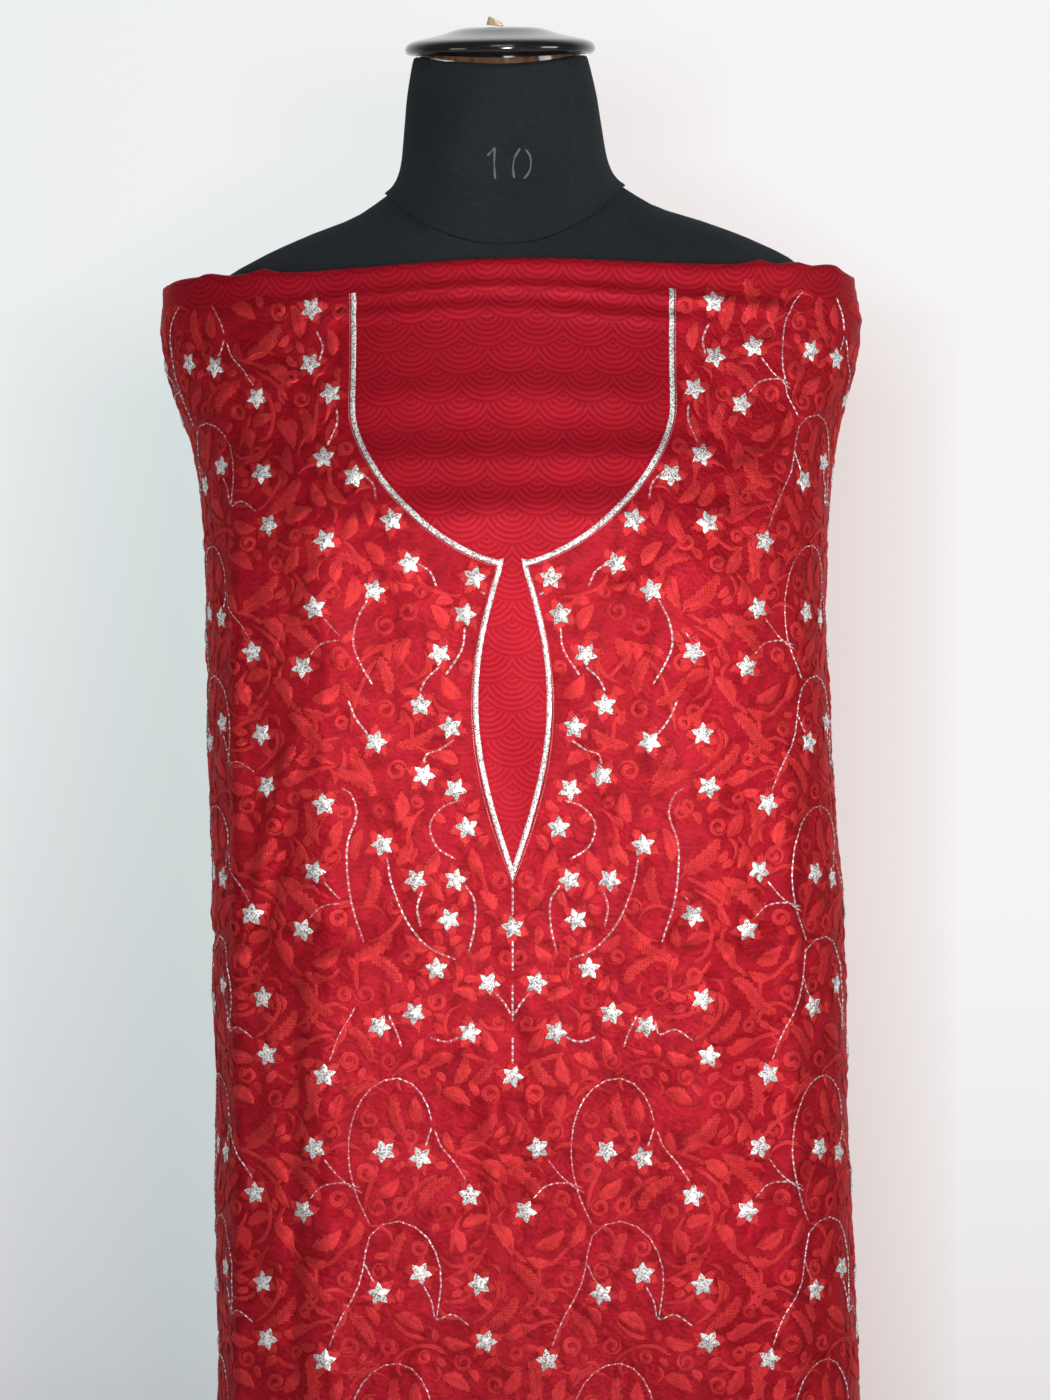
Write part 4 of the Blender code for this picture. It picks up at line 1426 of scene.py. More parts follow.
@dataclass
class Filler:
    """Small motifs set into the gaps between the drawn ones, each clear of its neighbours."""

    sizes: tuple[FillerSize, ...] = tuple(FillerSize(*row) for row in (
        (CATERPILLAR, 28, 9.5, 700), (LEAF, 24, 9.5, 700), (SPIRAL, 6.8, 4.4, 700), (LEAF, 18, 8, 500),
        (SPIRAL, 5, 3.4, 300), (LEAF, 26, 3.6, 220), (BUD, 12, 6, 200), (LEAF, 15, 3.2, 150),
    ))
    star_room: float = 8.5
    line_room: float = 0.8
    slim: float = 4.0
    slim_bend: float = 0.30
    bend: float = 0.12
    area: float = 25200.0
    seed: int = 23

    @staticmethod
    def discs(motif: Motif) -> list[tuple[float, float, float]]:
        """Discs that cover a motif.

        Args:
            motif: the motif.

        Returns:
            Each disc as (x, y, radius).
        """
        if motif.kind is SPIRAL:
            return [(motif.x, motif.y, motif.length + 1.2)]
        angle = math.radians(motif.turn)
        shares = (0.0,) if motif.kind is BUD else (-0.34, 0.0, 0.34)
        return [(motif.x + motif.length * share * math.cos(angle),
                 motif.y - motif.length * share * math.sin(angle), motif.width * 0.5)
                for share in shares]

    def fill(self, motifs: Sequence[Motif], stars: Sequence[Place],
             lines: Sequence[Sequence[Place]], low: Place,
             high: Place, inside: Callable[[float, float], bool],
             repeat: bool) -> list[Motif]:
        """Finds the gaps.

        Args:
            motifs: the drawn motifs.
            stars: the places of the stars.
            lines: the silver stems.
            low: the upper left corner of the area.
            high: its lower right corner.
            inside: whether a place may be worked.
            repeat: whether the area's sides meet, as a repeat's do.

        Returns:
            The motifs that fill them.
        """
        chance = np.random.default_rng(self.seed)
        width, height = high[0] - low[0], high[1] - low[1]
        taken = [disc for motif in motifs for disc in self.discs(motif)]
        taken += [(x, y, self.star_room) for x, y in stars]
        taken += [(x, y, self.line_room) for line in lines for x, y in smooth_path(line, 24)]
        found = []
        for size in self.sizes:
            for _ in range(round(size.tries * width * height / self.area)):
                x, y = low[0] + chance.random() * width, low[1] + chance.random() * height
                bend = (-1, 1)[int(chance.integers(2))]
                if size.kind is not SPIRAL:
                    bend *= self.bend if size.width > self.slim else self.slim_bend
                grown = 0.88 + 0.24 * chance.random()
                motif = Motif(size.kind, x, y, chance.random() * 360, size.length * grown,
                              size.width * grown, bend)
                mine = np.array(self.discs(motif))
                if not all(inside(a, b) for a, b, _ in mine):
                    continue
                others = np.array(taken)
                dx = mine[:, None, 0] - others[None, :, 0]
                dy = mine[:, None, 1] - others[None, :, 1]
                if repeat:
                    dx -= np.rint(dx / width) * width
                    dy -= np.rint(dy / height) * height
                if np.all(np.hypot(dx, dy) > mine[:, None, 2] + others[None, :, 2]):
                    found.append(motif)
                    taken += [tuple(disc) for disc in mine]
        return found


@dataclass
class Embroidery:
    """All that is stitched on the cloth: the trailing design and the yoke."""

    drape: Drape
    neckline: Neckline = Neckline()
    cell: DesignCell = DesignCell()
    yoke: Yoke = Yoke()
    filler: Filler = field(default_factory=Filler)
    first_across: float = -675.0
    first_drop: float = -215.0
    side_margin: float = 12.0
    top_margin: float = 18.0
    hem_margin: float = 16.0
    settled: float = 36.0
    settled_drop: float = 450.0
    front_half: float = 290.0
    star_radius: float = 7.5
    under_radius: float = 13.4
    under_turn: float = 22.0
    star_clear: float = 9.5
    neckline_clear: float = 4.0
    stem_steps: int = 40
    shortest_run: int = 6
    silver_stem: Stem = Stem(0.90)
    yoke_stem: Stem = Stem(1.25)
    red_stem: Stem = Stem(3.6, Stitch.STEM, 0.45, 0.5, 0.4)

    def __post_init__(self) -> None:
        """Starts the threads: the red one of the front and of the back, and two silver ones."""
        self.front_red = StitchWork()
        self.back_red = StitchWork()
        self.stems = StitchWork()
        self.silver = StitchWork()
        self.random = np.random.default_rng(5)
        self.placed: list[Place] = []

    def settle(self, y: float) -> float:
        """Where a level of the trailing design comes to lie, held down towards the top edge."""
        return y + self.settled * max(0.0, 1 - y / self.settled_drop)

    def settled_path(self, path: Path, x: float, y: float) -> Path:
        """A path of the cell whose corner is at (x, y), where it comes to lie."""
        return tuple((x + a, self.settle(y + b)) for a, b in path)

    def on_cloth(self, x: float, y: float, margin: float = 0.0) -> bool:
        """Whether a place is on worked cloth.

        Args:
            x: where it is across the cloth, in millimetres.
            y: how far down it is.
            margin: how far it keeps from the edges.

        Returns:
            True if it is.
        """
        edge = self.drape.width / MM / 2 - self.side_margin - margin
        low = self.drape.length / MM - self.hem_margin - margin
        if abs(x) > edge or not self.top_margin + margin * 0.5 < y < low:
            return False
        return not self.neckline.holds(x * MM, y * MM, (self.neckline_clear + margin) * MM)

    def red_at(self, x: float) -> StitchWork:
        """The red work that a place across the cloth belongs to."""
        return self.front_red if abs(x) < self.front_half else self.back_red

    def add_star(self, x: float, y: float) -> None:
        """Stitches a silver star on its larger red one.

        Args:
            x: where it is across the cloth, in millimetres.
            y: how far down it is.
        """
        if not self.on_cloth(x, y, self.neckline_clear):
            return
        turn = float(self.random.uniform(0, 72))
        self.placed.append((x, y))
        self.red_at(x).star(x, y, self.under_radius, turn + self.under_turn, 0.50, 0.25)
        self.silver.star(x, y, self.star_radius, turn, 0.95, 1.1)

    def add_motif(self, motif: Motif) -> None:
        """Stitches a motif that keeps clear of the stars and of the plain cloth.

        Args:
            motif: the motif.
        """
        if not self.on_cloth(motif.x, motif.y, motif.length * 0.36):
            return
        if any(math.hypot(motif.x - x, motif.y - y) < self.star_clear for x, y in self.placed):
            return
        self.red_at(motif.x).motif(motif)

    def add_line(self, work: StitchWork, points: Iterable[Place], stem: Stem,
                 in_yoke: bool) -> None:
        """Stitches each run of a stem that is on the right ground.

        Args:
            work: the thread it is worked in.
            points: the stem's places in millimetres.
            stem: how it is worked.
            in_yoke: whether it belongs to the yoke.
        """
        fine = smooth_path(list(points), self.stem_steps)
        good = [self.on_cloth(x, y) and self.yoke.holds(x, y) == in_yoke for x, y in fine]
        turns = np.flatnonzero(np.diff([False, *good, False]))
        for start, end in zip(turns[::2], turns[1::2]):
            if end - start > self.shortest_run:
                work.line(fine[start:end], stem)

    def stitch_cells(self) -> None:
        """Repeats the trailing design over the cloth outside the yoke."""
        cell = self.cell
        fillers = self.filler.fill(cell.motifs, cell.stars, cell.silver, (0, 0),
                                   (cell.width, cell.height), lambda x, y: True, True)
        columns = math.ceil(self.drape.width / MM / cell.width) + 2
        rows = math.ceil(self.drape.length / MM / cell.height) + 2
        corners = [(self.first_across + i * cell.width, self.first_drop + j * cell.height)
                   for j in range(rows) for i in range(columns)]
        for x, y in corners:
            for star_x, star_y in self.settled_path(cell.stars, x, y):
                if not self.yoke.holds(star_x, star_y):
                    self.add_star(star_x, star_y)
        for x, y in corners:
            for motif in (*cell.motifs, *fillers):
                moved = motif.moved(x, self.settle(y + motif.y) - motif.y)
                if not self.yoke.holds(moved.x, moved.y):
                    self.add_motif(moved)
            for path in cell.silver:
                self.add_line(self.stems, self.settled_path(path, x, y), self.silver_stem, False)
            for path in cell.red:
                work = self.red_at(x + path[0][0])
                self.add_line(work, self.settled_path(path, x, y), self.red_stem, False)

    def stitch_yoke(self) -> None:
        """Works the yoke, each half the other's mirror."""
        yoke = self.yoke
        for side in (-1, 1):
            for x, y in yoke.pair_stars:
                self.add_star(side * x, y)
        for x, y in yoke.middle_stars:
            self.add_star(x, y)
        fillers = self.filler.fill(
            yoke.pair_motifs, (*yoke.pair_stars, *yoke.middle_stars), yoke.pair_silver, (2, 20),
            (yoke.shoulder_half_width, yoke.point_drop),
            lambda x, y: x > 3 and yoke.holds(x, y) and self.on_cloth(x, y, 2.0), False)
        for motif in (*yoke.pair_motifs, *fillers):
            self.add_motif(motif)
            self.add_motif(motif.mirrored())
        for side in (-1, 1):
            for path in yoke.pair_silver:
                self.add_line(self.stems, [(side * x, y) for x, y in path], self.yoke_stem, True)
            for path in yoke.pair_red:
                self.add_line(self.front_red, [(side * x, y) for x, y in path], self.red_stem, True)
        for path in yoke.middle_silver:
            self.add_line(self.stems, path, self.yoke_stem, True)

    def build(self, red: Material, stem: Material,
              silver: Material) -> list[Piece]:
        """Stitches everything and lays it on the cloth.

        Args:
            red: the satin thread.
            stem: the silver thread of the stems.
            silver: the silver thread of the stars.

        Returns:
            The finished pieces, the red ones first.
        """
        self.stitch_yoke()
        self.stitch_cells()
        made = [
            self.front_red.lay("red_embroidery_front", self.drape, red),
            self.back_red.lay("red_embroidery_back", self.drape, red),
            self.stems.lay("silver_stems", self.drape, stem),
            self.silver.lay("silver_stars", self.drape, silver),
        ]
        return made


@dataclass
class NeckBraid:
    """The silver braid round the neck and keyhole, with a fine dotted line outside it."""

    drape: Drape
    neckline: Neckline = Neckline()
    width: float = 0.0031
    line_width: float = 0.0006
    line_gap: float = 0.0025
    edge_lift: float = 0.0006
    rise: float = 0.0004
    line_rise: float = 0.0005

    def ribbon(self, name: str, path: Array, width: float, rise: float,
               material: Material) -> Piece:
        """A domed ribbon on the cloth.

        Args:
            name: the piece's name.
            path: places on the flat cloth.
            width: its width.
            rise: how much higher its middle is than its edges.
            material: its finish.

        Returns:
            The finished piece.
        """
        run = unit(np.diff(path, axis=0))
        run_in, run_out = np.vstack([run[:1], run]), np.vstack([run, run[-1:]])
        middle = unit(run_in + run_out)
        mitre = width / 2 / np.clip(np.sum(middle * run_in, axis=1), 0.35, 1)
        along = lengths_along(path)
        builder, u, v = grid(len(path) - 1, 4)
        i = np.rint(u * (len(path) - 1)).astype(int)
        side = v * 2 - 1
        across = path[i, 0] + middle[i, 1] * side * mitre[i]
        drop = path[i, 1] - middle[i, 0] * side * mitre[i]
        made = finish_object(name, builder, material, 60.0)
        lift = self.edge_lift + rise * (1 - side**2)
        set_points(made.data, self.drape.place(across, drop, lift))
        set_uv(made.data, "stitch", np.stack([along[i], side * width / 2], axis=1) / MM)
        return made

    def build(self, braid: Material, dots: Material) -> list[Piece]:
        """Lays the braid and its dotted line.

        Args:
            braid: the braid's finish.
            dots: the line's.

        Returns:
            The finished pieces.
        """
        path = self.neckline.whole_path()
        main = self.ribbon("neck_braid", path, self.width, self.rise, braid)
        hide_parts("neckline_braid")
        outer = self.neckline.whole_path(self.line_gap)
        line = self.ribbon("neck_dotted_line", outer, self.line_width, self.line_rise, dots)
        return [main, line]


# ---- The form and its stand ----


@dataclass(frozen=True)
class Ring:
    """One ring of the form: heights and reaches at its sides, front and back.

    A bend of 1 joins the three heights by a flat slope, and a bend of 2 by a curve.
    """

    side_z: float
    front_z: float
    back_z: float
    half_width: float
    front: float
    back: float
    bend: float = 2.0


@dataclass(frozen=True)
class Lean:
    """The form's slight list at the shoulders: its +X side is higher, its neck leans to -X."""

    slope: float = 0.035
    top_share: float = 0.35
    pivot_z: float = 1.40
    start_z: float = 1.00
    end_z: float = 1.30
    neck_z: float = 1.42
    cap_z: float = 1.50

    def apply(self, points: Array) -> Array:
        """Leans points with the form.

        Args:
            points: their places, a row for each.

        Returns:
            Where they are after the form has listed.
        """
        share = smooth_step(self.start_z, self.end_z, points[:, 2]) * self.slope
        x = points[:, 0] - share * (points[:, 2] - self.pivot_z)
        eased = 1 - (1 - self.top_share) * smooth_step(self.neck_z, self.cap_z, points[:, 2])
        z = points[:, 2] + share * eased * points[:, 0]
        return np.stack([x, points[:, 1], z], axis=1)


@dataclass
class DressForm:
    """The padded torso and neck, covered in jersey, with a plain size number on the neck."""

    lean: Lean = Lean()
    squareness: float = 2.15
    around: int = 120
    torso_rows: int = 90
    neck_rows: int = 56
    number_x: float = 0.0022
    number_z: float = 1.4222
    number_width: float = 0.0014
    number_lift: float = 0.0002
    stroke_steps: int = 16
    torso: tuple[Ring, ...] = tuple(Ring(*row) for row in (
        (1.4195, 1.38, 1.448, 0.0765, 0.0704, 0.0628), (1.406, 1.366, 1.433, 0.098, 0.0745, 0.069),
        (1.395, 1.35, 1.415, 0.129, 0.08, 0.075), (1.3812, 1.33, 1.393, 0.162, 0.087, 0.081),
        (1.3642, 1.306, 1.368, 0.19, 0.096, 0.0855), (1.336, 1.276, 1.338, 0.206, 0.105, 0.088),
        (1.296, 1.242, 1.296, 0.2, 0.115, 0.089), (1.245, 1.21, 1.245, 0.179, 0.123, 0.091),
        (1.18, 1.172, 1.182, 0.164, 0.128, 0.091), (1.11, 1.11, 1.115, 0.146, 0.109, 0.085),
        (1.01, 1.01, 1.01, 0.124, 0.092, 0.075), (0.92, 0.92, 0.92, 0.146, 0.103, 0.086),
        (0.83, 0.83, 0.83, 0.164, 0.109, 0.092), (0.76, 0.76, 0.76, 0.162, 0.105, 0.089),
        (0.738, 0.738, 0.738, 0.154, 0.097, 0.081), (0.732, 0.732, 0.732, 0.14, 0.083, 0.068),
    ))
    neck: tuple[Ring, ...] = tuple(Ring(*row) for row in (
        (1.5068, 1.4966, 1.5095, 0.055, 0.0535, 0.052), (1.5042, 1.4935, 1.5078, 0.057, 0.0555, 0.054),
        (1.4827, 1.472, 1.49, 0.0614, 0.0595, 0.0575), (1.462, 1.449, 1.473, 0.064, 0.0615, 0.0585),
        (1.441, 1.42, 1.459, 0.0667, 0.064, 0.059), (1.4306, 1.402, 1.453, 0.0698, 0.0665, 0.06),
        (1.4245, 1.39, 1.45, 0.0738, 0.069, 0.0615), (1.4209, 1.382, 1.4492, 0.0782, 0.0716, 0.064),
        (1.4198, 1.3803, 1.4483, 0.0765, 0.0704, 0.0628),
    ))
    collar: tuple[Ring, ...] = tuple(Ring(*row) for row in (
        (1.5103, 1.5058, 1.5148, 0.0515, 0.0515, 0.0515, 1),
        (1.5081, 1.5016, 1.5099, 0.0522, 0.0516, 0.0508),
        (1.5071, 1.4978, 1.5097, 0.0525, 0.0516, 0.0505),
    ))
    strokes: tuple[Path, ...] = paths(
        (-14, 15.5, -11, 18.5, -9.2, 20.5), (-9.2, 20.5, -9.6, 11, -9.0, 0.5),
        (6.8, 20, 3.4, 14, 2.4, 7, 3.2, 1), (10.6, 19.4, 13.4, 15, 13.8, 9, 12.2, 4, 9.4, 0.8),
    )

    def loft(self, name: str, rings: Sequence[Ring], rows: int, material: Material) -> Piece:
        """A closed body through the rings.

        Args:
            name: the piece's name.
            rings: from the top one down.
            rows: rings of faces.
            material: its finish.

        Returns:
            The finished piece.
        """
        table = smooth_path([astuple(ring) for ring in rings], rows)
        builder, u, v = grid(self.around, rows)
        side_z, front_z, back_z, wide, front, back, bend = table[
            np.rint((1 - v) * rows).astype(int)].T
        turn = u * math.tau + math.pi
        sine, cosine = np.sin(turn), np.cos(turn)
        depth, end_z = np.where(cosine > 0, front, back), np.where(cosine > 0, front_z, back_z)
        radius = rounded_reach(sine, cosine, wide, depth, self.squareness)
        z = side_z + (end_z - side_z) * np.abs(radius * cosine / depth) ** bend
        points = self.lean.apply(np.stack([radius * sine, -radius * cosine, z], axis=1))
        for vert, point in zip(builder.verts, points):
            vert.co = point
        bmesh.ops.remove_doubles(builder, verts=builder.verts, dist=1e-6)
        bmesh.ops.holes_fill(builder, edges=builder.edges, sides=0)
        bmesh.ops.recalc_face_normals(builder, faces=builder.faces)
        made = finish_object(name, builder, material)
        return made

    def number(self, neck: Piece, material: Material) -> Piece:
        """The plain size number, chalked on the front of the neck in thin strokes.

        Args:
            neck: the neck's cover.
            material: its finish.

        Returns:
            The finished piece.
        """
        tree = BVHTree.FromPolygons([vert.co[:] for vert in neck.data.vertices],
                                    [face.vertices[:] for face in neck.data.polygons])
        whole = bmesh.new()
        steps = self.stroke_steps
        for stroke in self.strokes:
            path = smooth_path(stroke, steps) * MM
            run = unit(np.gradient(path, axis=0))
            builder, u, v = grid(steps, 2)
            i = np.rint(u * steps).astype(int)
            side = (v - 0.5) * self.number_width * (0.75 + 0.25 * np.sin(u * 9))
            x = self.number_x + path[i, 0] - run[i, 1] * side
            z = self.number_z + path[i, 1] + run[i, 0] * side
            for vert, across, height in zip(builder.verts, x, z):
                hit, normal, _, _ = tree.ray_cast(Vector((across, -0.3, height)), Vector((0, 1, 0)))
                vert.co = hit + normal * self.number_lift
            join(whole, builder)
        bmesh.ops.recalc_face_normals(whole, faces=whole.faces)
        if sum(face.normal.y for face in whole.faces) > 0:
            bmesh.ops.reverse_faces(whole, faces=whole.faces)
        return finish_object("size_number", whole, material)

    def build(self, jersey: Material, chalk: Material,
              lacquer: Material, varnish: Material) -> list[Piece]:
        """Builds the torso, the neck, the number on it and the collar in its top.

        Args:
            jersey: the cover's finish.
            chalk: the number's.
            lacquer: the upper part of the collar's.
            varnish: the collar's lower edge's.

        Returns:
            The finished pieces.
        """
        torso = self.loft("form_torso_cover", self.torso, self.torso_rows, jersey)
        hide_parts("form_torso")
        neck = self.loft("form_neck_cover", self.neck, self.neck_rows, jersey)
        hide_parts("form_neck")
        number = self.number(neck, chalk)
        upper = self.loft("collar_top", self.collar[:2], 4, lacquer)
        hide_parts("neck_collar")
        lower = self.loft("collar_edge", self.collar[1:], 4, varnish)
        return [torso, neck, number, upper, lower]


@dataclass
class Turning:
    """A turned piece: a profile of (radius, height) points from top to bottom, spun round Z."""

    name: str
    node: str
    slot: str
    profile: Path
    steps: int = 72
    round_over: float = 0.0008

    def mesh(self) -> Builder:
        """The spun mesh, about the Z axis at the origin."""
        builder = bmesh.new()
        verts = [builder.verts.new((radius, 0, height)) for radius, height in self.profile]
        edges = [builder.edges.new(pair) for pair in zip(verts, verts[1:])]
        bmesh.ops.spin(builder, geom=verts + edges, cent=(0, 0, 0), axis=(0, 0, 1),
                       angle=math.tau, steps=self.steps, use_merge=True)
        bmesh.ops.remove_doubles(builder, verts=builder.verts, dist=1e-6)
        bmesh.ops.recalc_face_normals(builder, faces=builder.faces)
        if self.round_over:
            edges = [edge for edge in builder.edges
                     if edge.is_manifold and edge.calc_face_angle() > math.radians(38)]
            bmesh.ops.bevel(builder, geom=edges, offset=self.round_over, affect="EDGES", segments=2,
                            profile=0.5, material=-1, clamp_overlap=True)
        return builder

    def build(self, material: Material) -> Piece:
        """Builds the piece in place of its CAD node.

        Args:
            material: its finish.

        Returns:
            The finished piece.
        """
        made = finish_object(self.name, self.mesh(), material)
        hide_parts(self.node)
        return made


@dataclass
class NeckCap:
    """The lacquered cap on the neck and the broken peg on top of it."""

    lean: Lean = Lean()
    z: float = 1.5087
    peg_x: float = -0.0025
    peg_z: float = 1.5273
    peg_radius: float = 0.0058
    peg_top_radius: float = 0.0048
    peg_flatness: float = 0.62
    break_slope: float = -0.35
    peg_height: float = 0.0045
    peg_slant: float = math.radians(6)
    pitch: float = math.radians(5)
    profile: Path = (
        (0.0000, 0.0175), (0.0140, 0.0175), (0.0220, 0.0174), (0.0285, 0.0163), (0.0330, 0.0148),
        (0.0380, 0.0132), (0.0440, 0.0117), (0.0500, 0.0104), (0.0550, 0.0093), (0.0588, 0.0080),
        (0.0612, 0.0060), (0.0621, 0.0034), (0.0613, 0.0009), (0.0592, -0.0006), (0.0562, -0.0006),
        (0.0530, 0.0020), (0.0480, 0.0021), (0.0000, 0.0021),
    )

    def tilted(self, sideways: float) -> Quaternion:
        """The turn from upright to the cap's pitch, leaning sideways by an angle."""
        lean = Vector((math.sin(sideways), -math.sin(self.pitch), math.cos(self.pitch)))
        return Vector((0, 0, 1)).rotation_difference(lean)

    def listed(self, x: float, z: float) -> Vector:
        """Where a place in the middle plane lies after the form has listed."""
        return Vector(self.lean.apply(np.array([[x, 0.0, z]]))[0])

    def cap(self, lacquer: Material) -> Piece:
        """The turned cap, tilted to the neck's top.

        Args:
            lacquer: its finish.

        Returns:
            The finished piece.
        """
        cap = Turning("lacquered_cap", "neck_cap", "black_lacquer", self.profile, 96, 0.0).mesh()
        list_angle = self.lean.slope * self.lean.top_share
        settle_at(cap, self.tilted(-list_angle), self.listed(0.0, self.z))
        made = finish_object("lacquered_cap", cap, lacquer)
        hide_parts("neck_cap")
        return made

    def peg(self, wood: Material) -> Piece:
        """The flattened peg, broken off at a slant.

        Args:
            wood: its finish.

        Returns:
            The finished piece.
        """
        peg = bmesh.new()
        bmesh.ops.create_cone(peg, cap_ends=True, cap_tris=False, segments=14,
                              radius2=self.peg_top_radius, radius1=self.peg_radius,
                              depth=self.peg_height)
        bmesh.ops.scale(peg, vec=(1.0, self.peg_flatness, 1.0), verts=peg.verts)
        for vert in [vert for vert in peg.verts if vert.co.z > 0]:
            splinter = math.sin(vert.co.x * 2600) * 0.0004
            vert.co.z += vert.co.x * self.break_slope + splinter - 0.0006
        bmesh.ops.bevel(peg, geom=list(peg.edges), offset=0.0003, affect="EDGES", segments=1,
                        profile=0.5, material=-1)
        middle = self.listed(self.peg_x, self.peg_z + self.peg_height / 2)
        settle_at(peg, self.tilted(self.peg_slant), middle)
        made = finish_object("wooden_peg", peg, wood)
        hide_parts("cap_peg")
        return made

    def build(self, lacquer: Material, wood: Material) -> list[Piece]:
        """Builds the cap and the broken peg."""
        return [self.cap(lacquer), self.peg(wood)]


@dataclass
class Stand:
    """The socket under the torso, the pole and the round base."""

    base: Path = (
        (0.0, 0.0335), (0.0300, 0.0335), (0.0326, 0.0318), (0.0345, 0.0280), (0.0375, 0.0225),
        (0.0440, 0.0185), (0.0700, 0.0165), (0.1200, 0.0140), (0.1900, 0.0100), (0.2000, 0.0060),
        (0.2000, 0.0), (0.0, 0.0),
    )

    def plain(self, node: str) -> Path:
        """The profile of a straight round piece, as large as its CAD node."""
        low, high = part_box(node)
        radius = (high.x - low.x) / 2
        return ((0.0, high.z), (radius, high.z), (radius, low.z), (0.0, low.z))

    def build(self, steel: Material) -> list[Piece]:
        """Builds the three pieces.

        Args:
            steel: their finish.

        Returns:
            The finished pieces.
        """
        return [
            Turning("round_base", "stand_base", "black_steel", self.base, 96).build(steel),
            Turning("steel_pole", "stand_pole", "black_steel", self.plain("stand_pole"), 48).build(steel),
            Turning("pole_socket", "stand_socket", "black_steel", self.plain("stand_socket"), 64,
                    0.002).build(steel),
        ]


@dataclass
class LapPins:
    """The pins that close the lap down the centre back."""

    drape: Drape
    drops: tuple[float, ...] = (0.07, 0.24, 0.44, 0.70)
    inset: float = 0.014
    pitch: float = 0.02
    lift: float = 0.00285
    profile: Path = (
        (0.0, 0.0020), (0.0009, 0.0018), (0.0016, 0.0012), (0.0020, 0.0), (0.0016, -0.0012),
        (0.0009, -0.0018), (0.0005, -0.0021), (0.0005, -0.0270), (0.0, -0.0290),
    )

    def build(self, steel: Material) -> Piece:
        """Builds the pins as one piece.

        Args:
            steel: their finish.

        Returns:
            The finished piece.
        """
        whole = bmesh.new()
        for drop in self.drops:
            pin = Turning("pin", "lap_pin_1", "pin_steel", self.profile, 16, 0.0).mesh()
            edge = self.drape.width / 2 - self.inset
            head, tip = (Vector(self.drape.place(np.array([across]), np.array([drop]), self.lift)[0])
                         for across in (edge, edge - self.pitch))
            settle_at(pin, (tip - head).to_track_quat("-Z", "Y"), head)
            join(whole, pin)
        made = finish_object("lap_pins", whole, steel)
        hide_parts("lap_pin_1", "lap_pin_2", "lap_pin_3", "lap_pin_4")
        return made


# ---- The studio ----


@dataclass(frozen=True)
class SoftBox:
    """One soft lamp: where it stands, what it faces, its size and its power in watts."""

    name: str
    place: Point
    aim: Point
    size: float
    power: float
    spread: float = 180.0

    def build(self) -> None:
        """Puts up the lamp."""
        light = bpy.data.lights.new(self.name, "AREA")
        light.shape = "SQUARE"
        light.size = self.size
        light.energy = self.power
        light.spread = math.radians(self.spread)
        made = show(self.name, light)
        made.location = self.place
        towards = Vector(self.aim) - Vector(self.place)
        made.rotation_euler = towards.to_track_quat("-Z", "Y").to_euler()


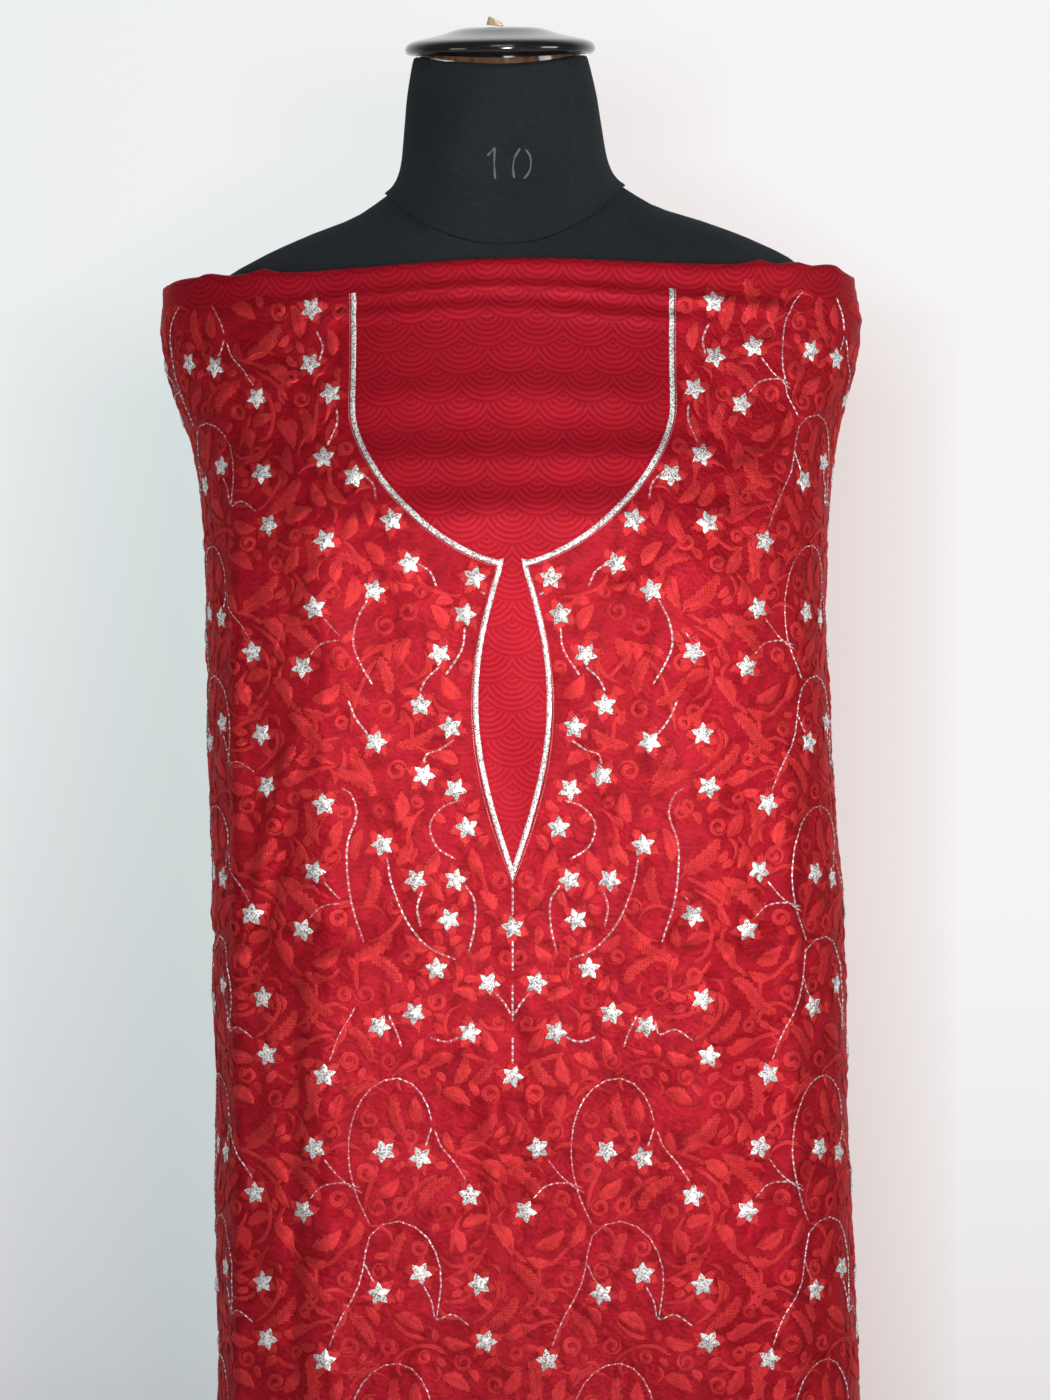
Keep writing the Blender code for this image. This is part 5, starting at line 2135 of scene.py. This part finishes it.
@dataclass
class Studio:
    """The pale floor and surround, the lamps and the camera."""

    camera_place: Point = (0.0123, -4.295, 1.0887)
    lens: float = 169.8
    floor_radius: float = 3.4
    # The surround as the camera sees it, with painted shade: darker low down, and darker on the left than
    # on the right.
    left_high: Colour = (0.845, 0.862, 0.872)
    left_low: Colour = (0.585, 0.588, 0.612)
    right_high: Colour = (0.918, 0.902, 0.902)
    right_low: Colour = (0.795, 0.765, 0.765)
    # Painted shadow close about the form: cool on its left, and pink on its right as painted red light
    # thrown back by the cloth.
    cool_shade: Colour = (0.785, 0.850, 0.840)
    red_bounce_shade: Colour = (0.850, 0.760, 0.745)
    wall_glow: float = 0.75
    room_glow: float = 0.13
    lamps: tuple[SoftBox, ...] = (
        SoftBox("key_lamp", (0.64, -4.4, 0.95), (0.015, 0.0, 1.15), 0.8, 2.6, 21.0),
        SoftBox("left_lamp", (-2.6, -2.0, 1.0), (0.0, 0.0, 1.1), 1.2, 10.0),
        SoftBox("right_lamp", (2.8, -1.5, 1.7), (0.0, 0.0, 1.1), 1.2, 26.0),
        SoftBox("top_lamp", (0.1, -2.0, 2.9), (0.0, -0.1, 1.3), 1.0, 6.5),
    )

    def surround(self) -> None:
        """The pale surround: painted shade makes it darker low down and on the left, and a painted soft
        shadow lies close about the form, tinted pink on its right by painted red light from the cloth.
        """
        kit = NodeKit("studio_surround", world=True)
        x, y, z = kit.parts(kit.node("TexCoord", out="Generated"))
        off = x + 0.003
        up = z.slope(-0.103, 0.061)
        left = kit.mix(up.power(0.65), self.left_low, self.left_high)
        right = kit.mix((up * 2.2).slope(0.0, 1.0).power(0.7), self.right_low, self.right_high)
        wall = kit.mix(off.slope(-0.075, 0.030), left, right)
        # Painted shadow: near the form's outline the wall is multiplied by the shade colour.
        half = z.slope(0.058, 0.082) * -0.034 + 0.050
        reach = off.slope(-0.005, 0.005) * -0.0080 + 0.0265
        near = (1.0 - (off.absolute() - half) / reach).slope(0.0, 1.0).power(0.75)
        near = near * z.slope(0.103, 0.088) * (1.0 - z.slope(0.044, 0.062) * 0.6)
        shade = kit.mix(off.slope(-0.01, 0.01), self.cool_shade, self.red_bounce_shade)
        seen = kit.mix(near, wall, kit.mix(1.0, wall, shade, "MULTIPLY"))
        glow = y.ramp(0.10, 0.85) * (x * 0.22 + 1.0) * self.wall_glow + self.room_glow
        bpy.context.scene.world = kit.surround(seen, glow)

    def floor(self) -> None:
        """The round pale floor."""
        builder = bmesh.new()
        bmesh.ops.create_circle(builder, cap_ends=True, segments=96, radius=self.floor_radius)
        mesh = mesh_of("studio_floor", builder)
        mesh.materials.append(StudioFloorFinish().build())
        show("studio_floor", mesh)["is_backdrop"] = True

    def camera(self) -> None:
        """The camera, level, before the chest."""
        data = bpy.data.cameras.new("camera")
        data.lens = self.lens
        data.sensor_width = 36.0
        made = show("camera", data)
        made.location = self.camera_place
        made.rotation_euler = (math.pi / 2, 0, 0)
        bpy.context.scene.camera = made

    def build(self) -> None:
        """Builds the studio."""
        self.surround()
        self.floor()
        self.camera()
        for lamp in self.lamps:
            lamp.build()
        bpy.context.scene.view_settings.view_transform = "Standard"


def corners() -> list[list[float]]:
    """The shown object's lowest and highest corners as plain numbers."""
    return [list(corner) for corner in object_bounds()]


def main() -> None:
    """Builds every piece in order."""
    logging.basicConfig(level=logging.INFO, format="%(name)s: %(message)s")
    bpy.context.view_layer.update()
    Studio().build()
    drape = Drape()
    cloth = KameezLength(drape).build(SuitingFinish().build(), Neckline())
    worked = Embroidery(drape).build(
        SatinThreadFinish().build(),
        SilverThreadFinish("silver_stem_thread", gap_pitch=4.2, gap_share=0.44).build(),
        SilverThreadFinish("silver_star_thread").build(),
    )
    braid = NeckBraid(drape).build(
        SilverThreadFinish("silver_braid_thread").build(),
        SilverThreadFinish("silver_dot_thread", gap_pitch=1.8, gap_share=0.8).build(),
    )
    jersey = JerseyFinish().build()
    chalk = LacquerFinish("number_thread", (0.17, 0.20, 0.21), (0.10, 0.12, 0.13), 0.8, 900.0, 0.0)
    lacquer = LacquerFinish("black_lacquer", (0.006, 0.005, 0.005), (0.012, 0.010, 0.009)).build()
    varnish = LacquerFinish("brown_varnish", (0.17, 0.075, 0.030), (0.06, 0.025, 0.010), 0.12, 200.0)
    wood = LacquerFinish("bare_wood", (0.86, 0.70, 0.42), (0.66, 0.46, 0.23), 0.6, 300.0, 0.0)
    DressForm().build(jersey, chalk.build(), lacquer, varnish.build())
    NeckCap().build(lacquer, wood.build())
    Stand().build(PowderCoatFinish().build())
    pins = LapPins(drape).build(NickelFinish().build())
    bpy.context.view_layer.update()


if __name__ == "__main__":
    main()
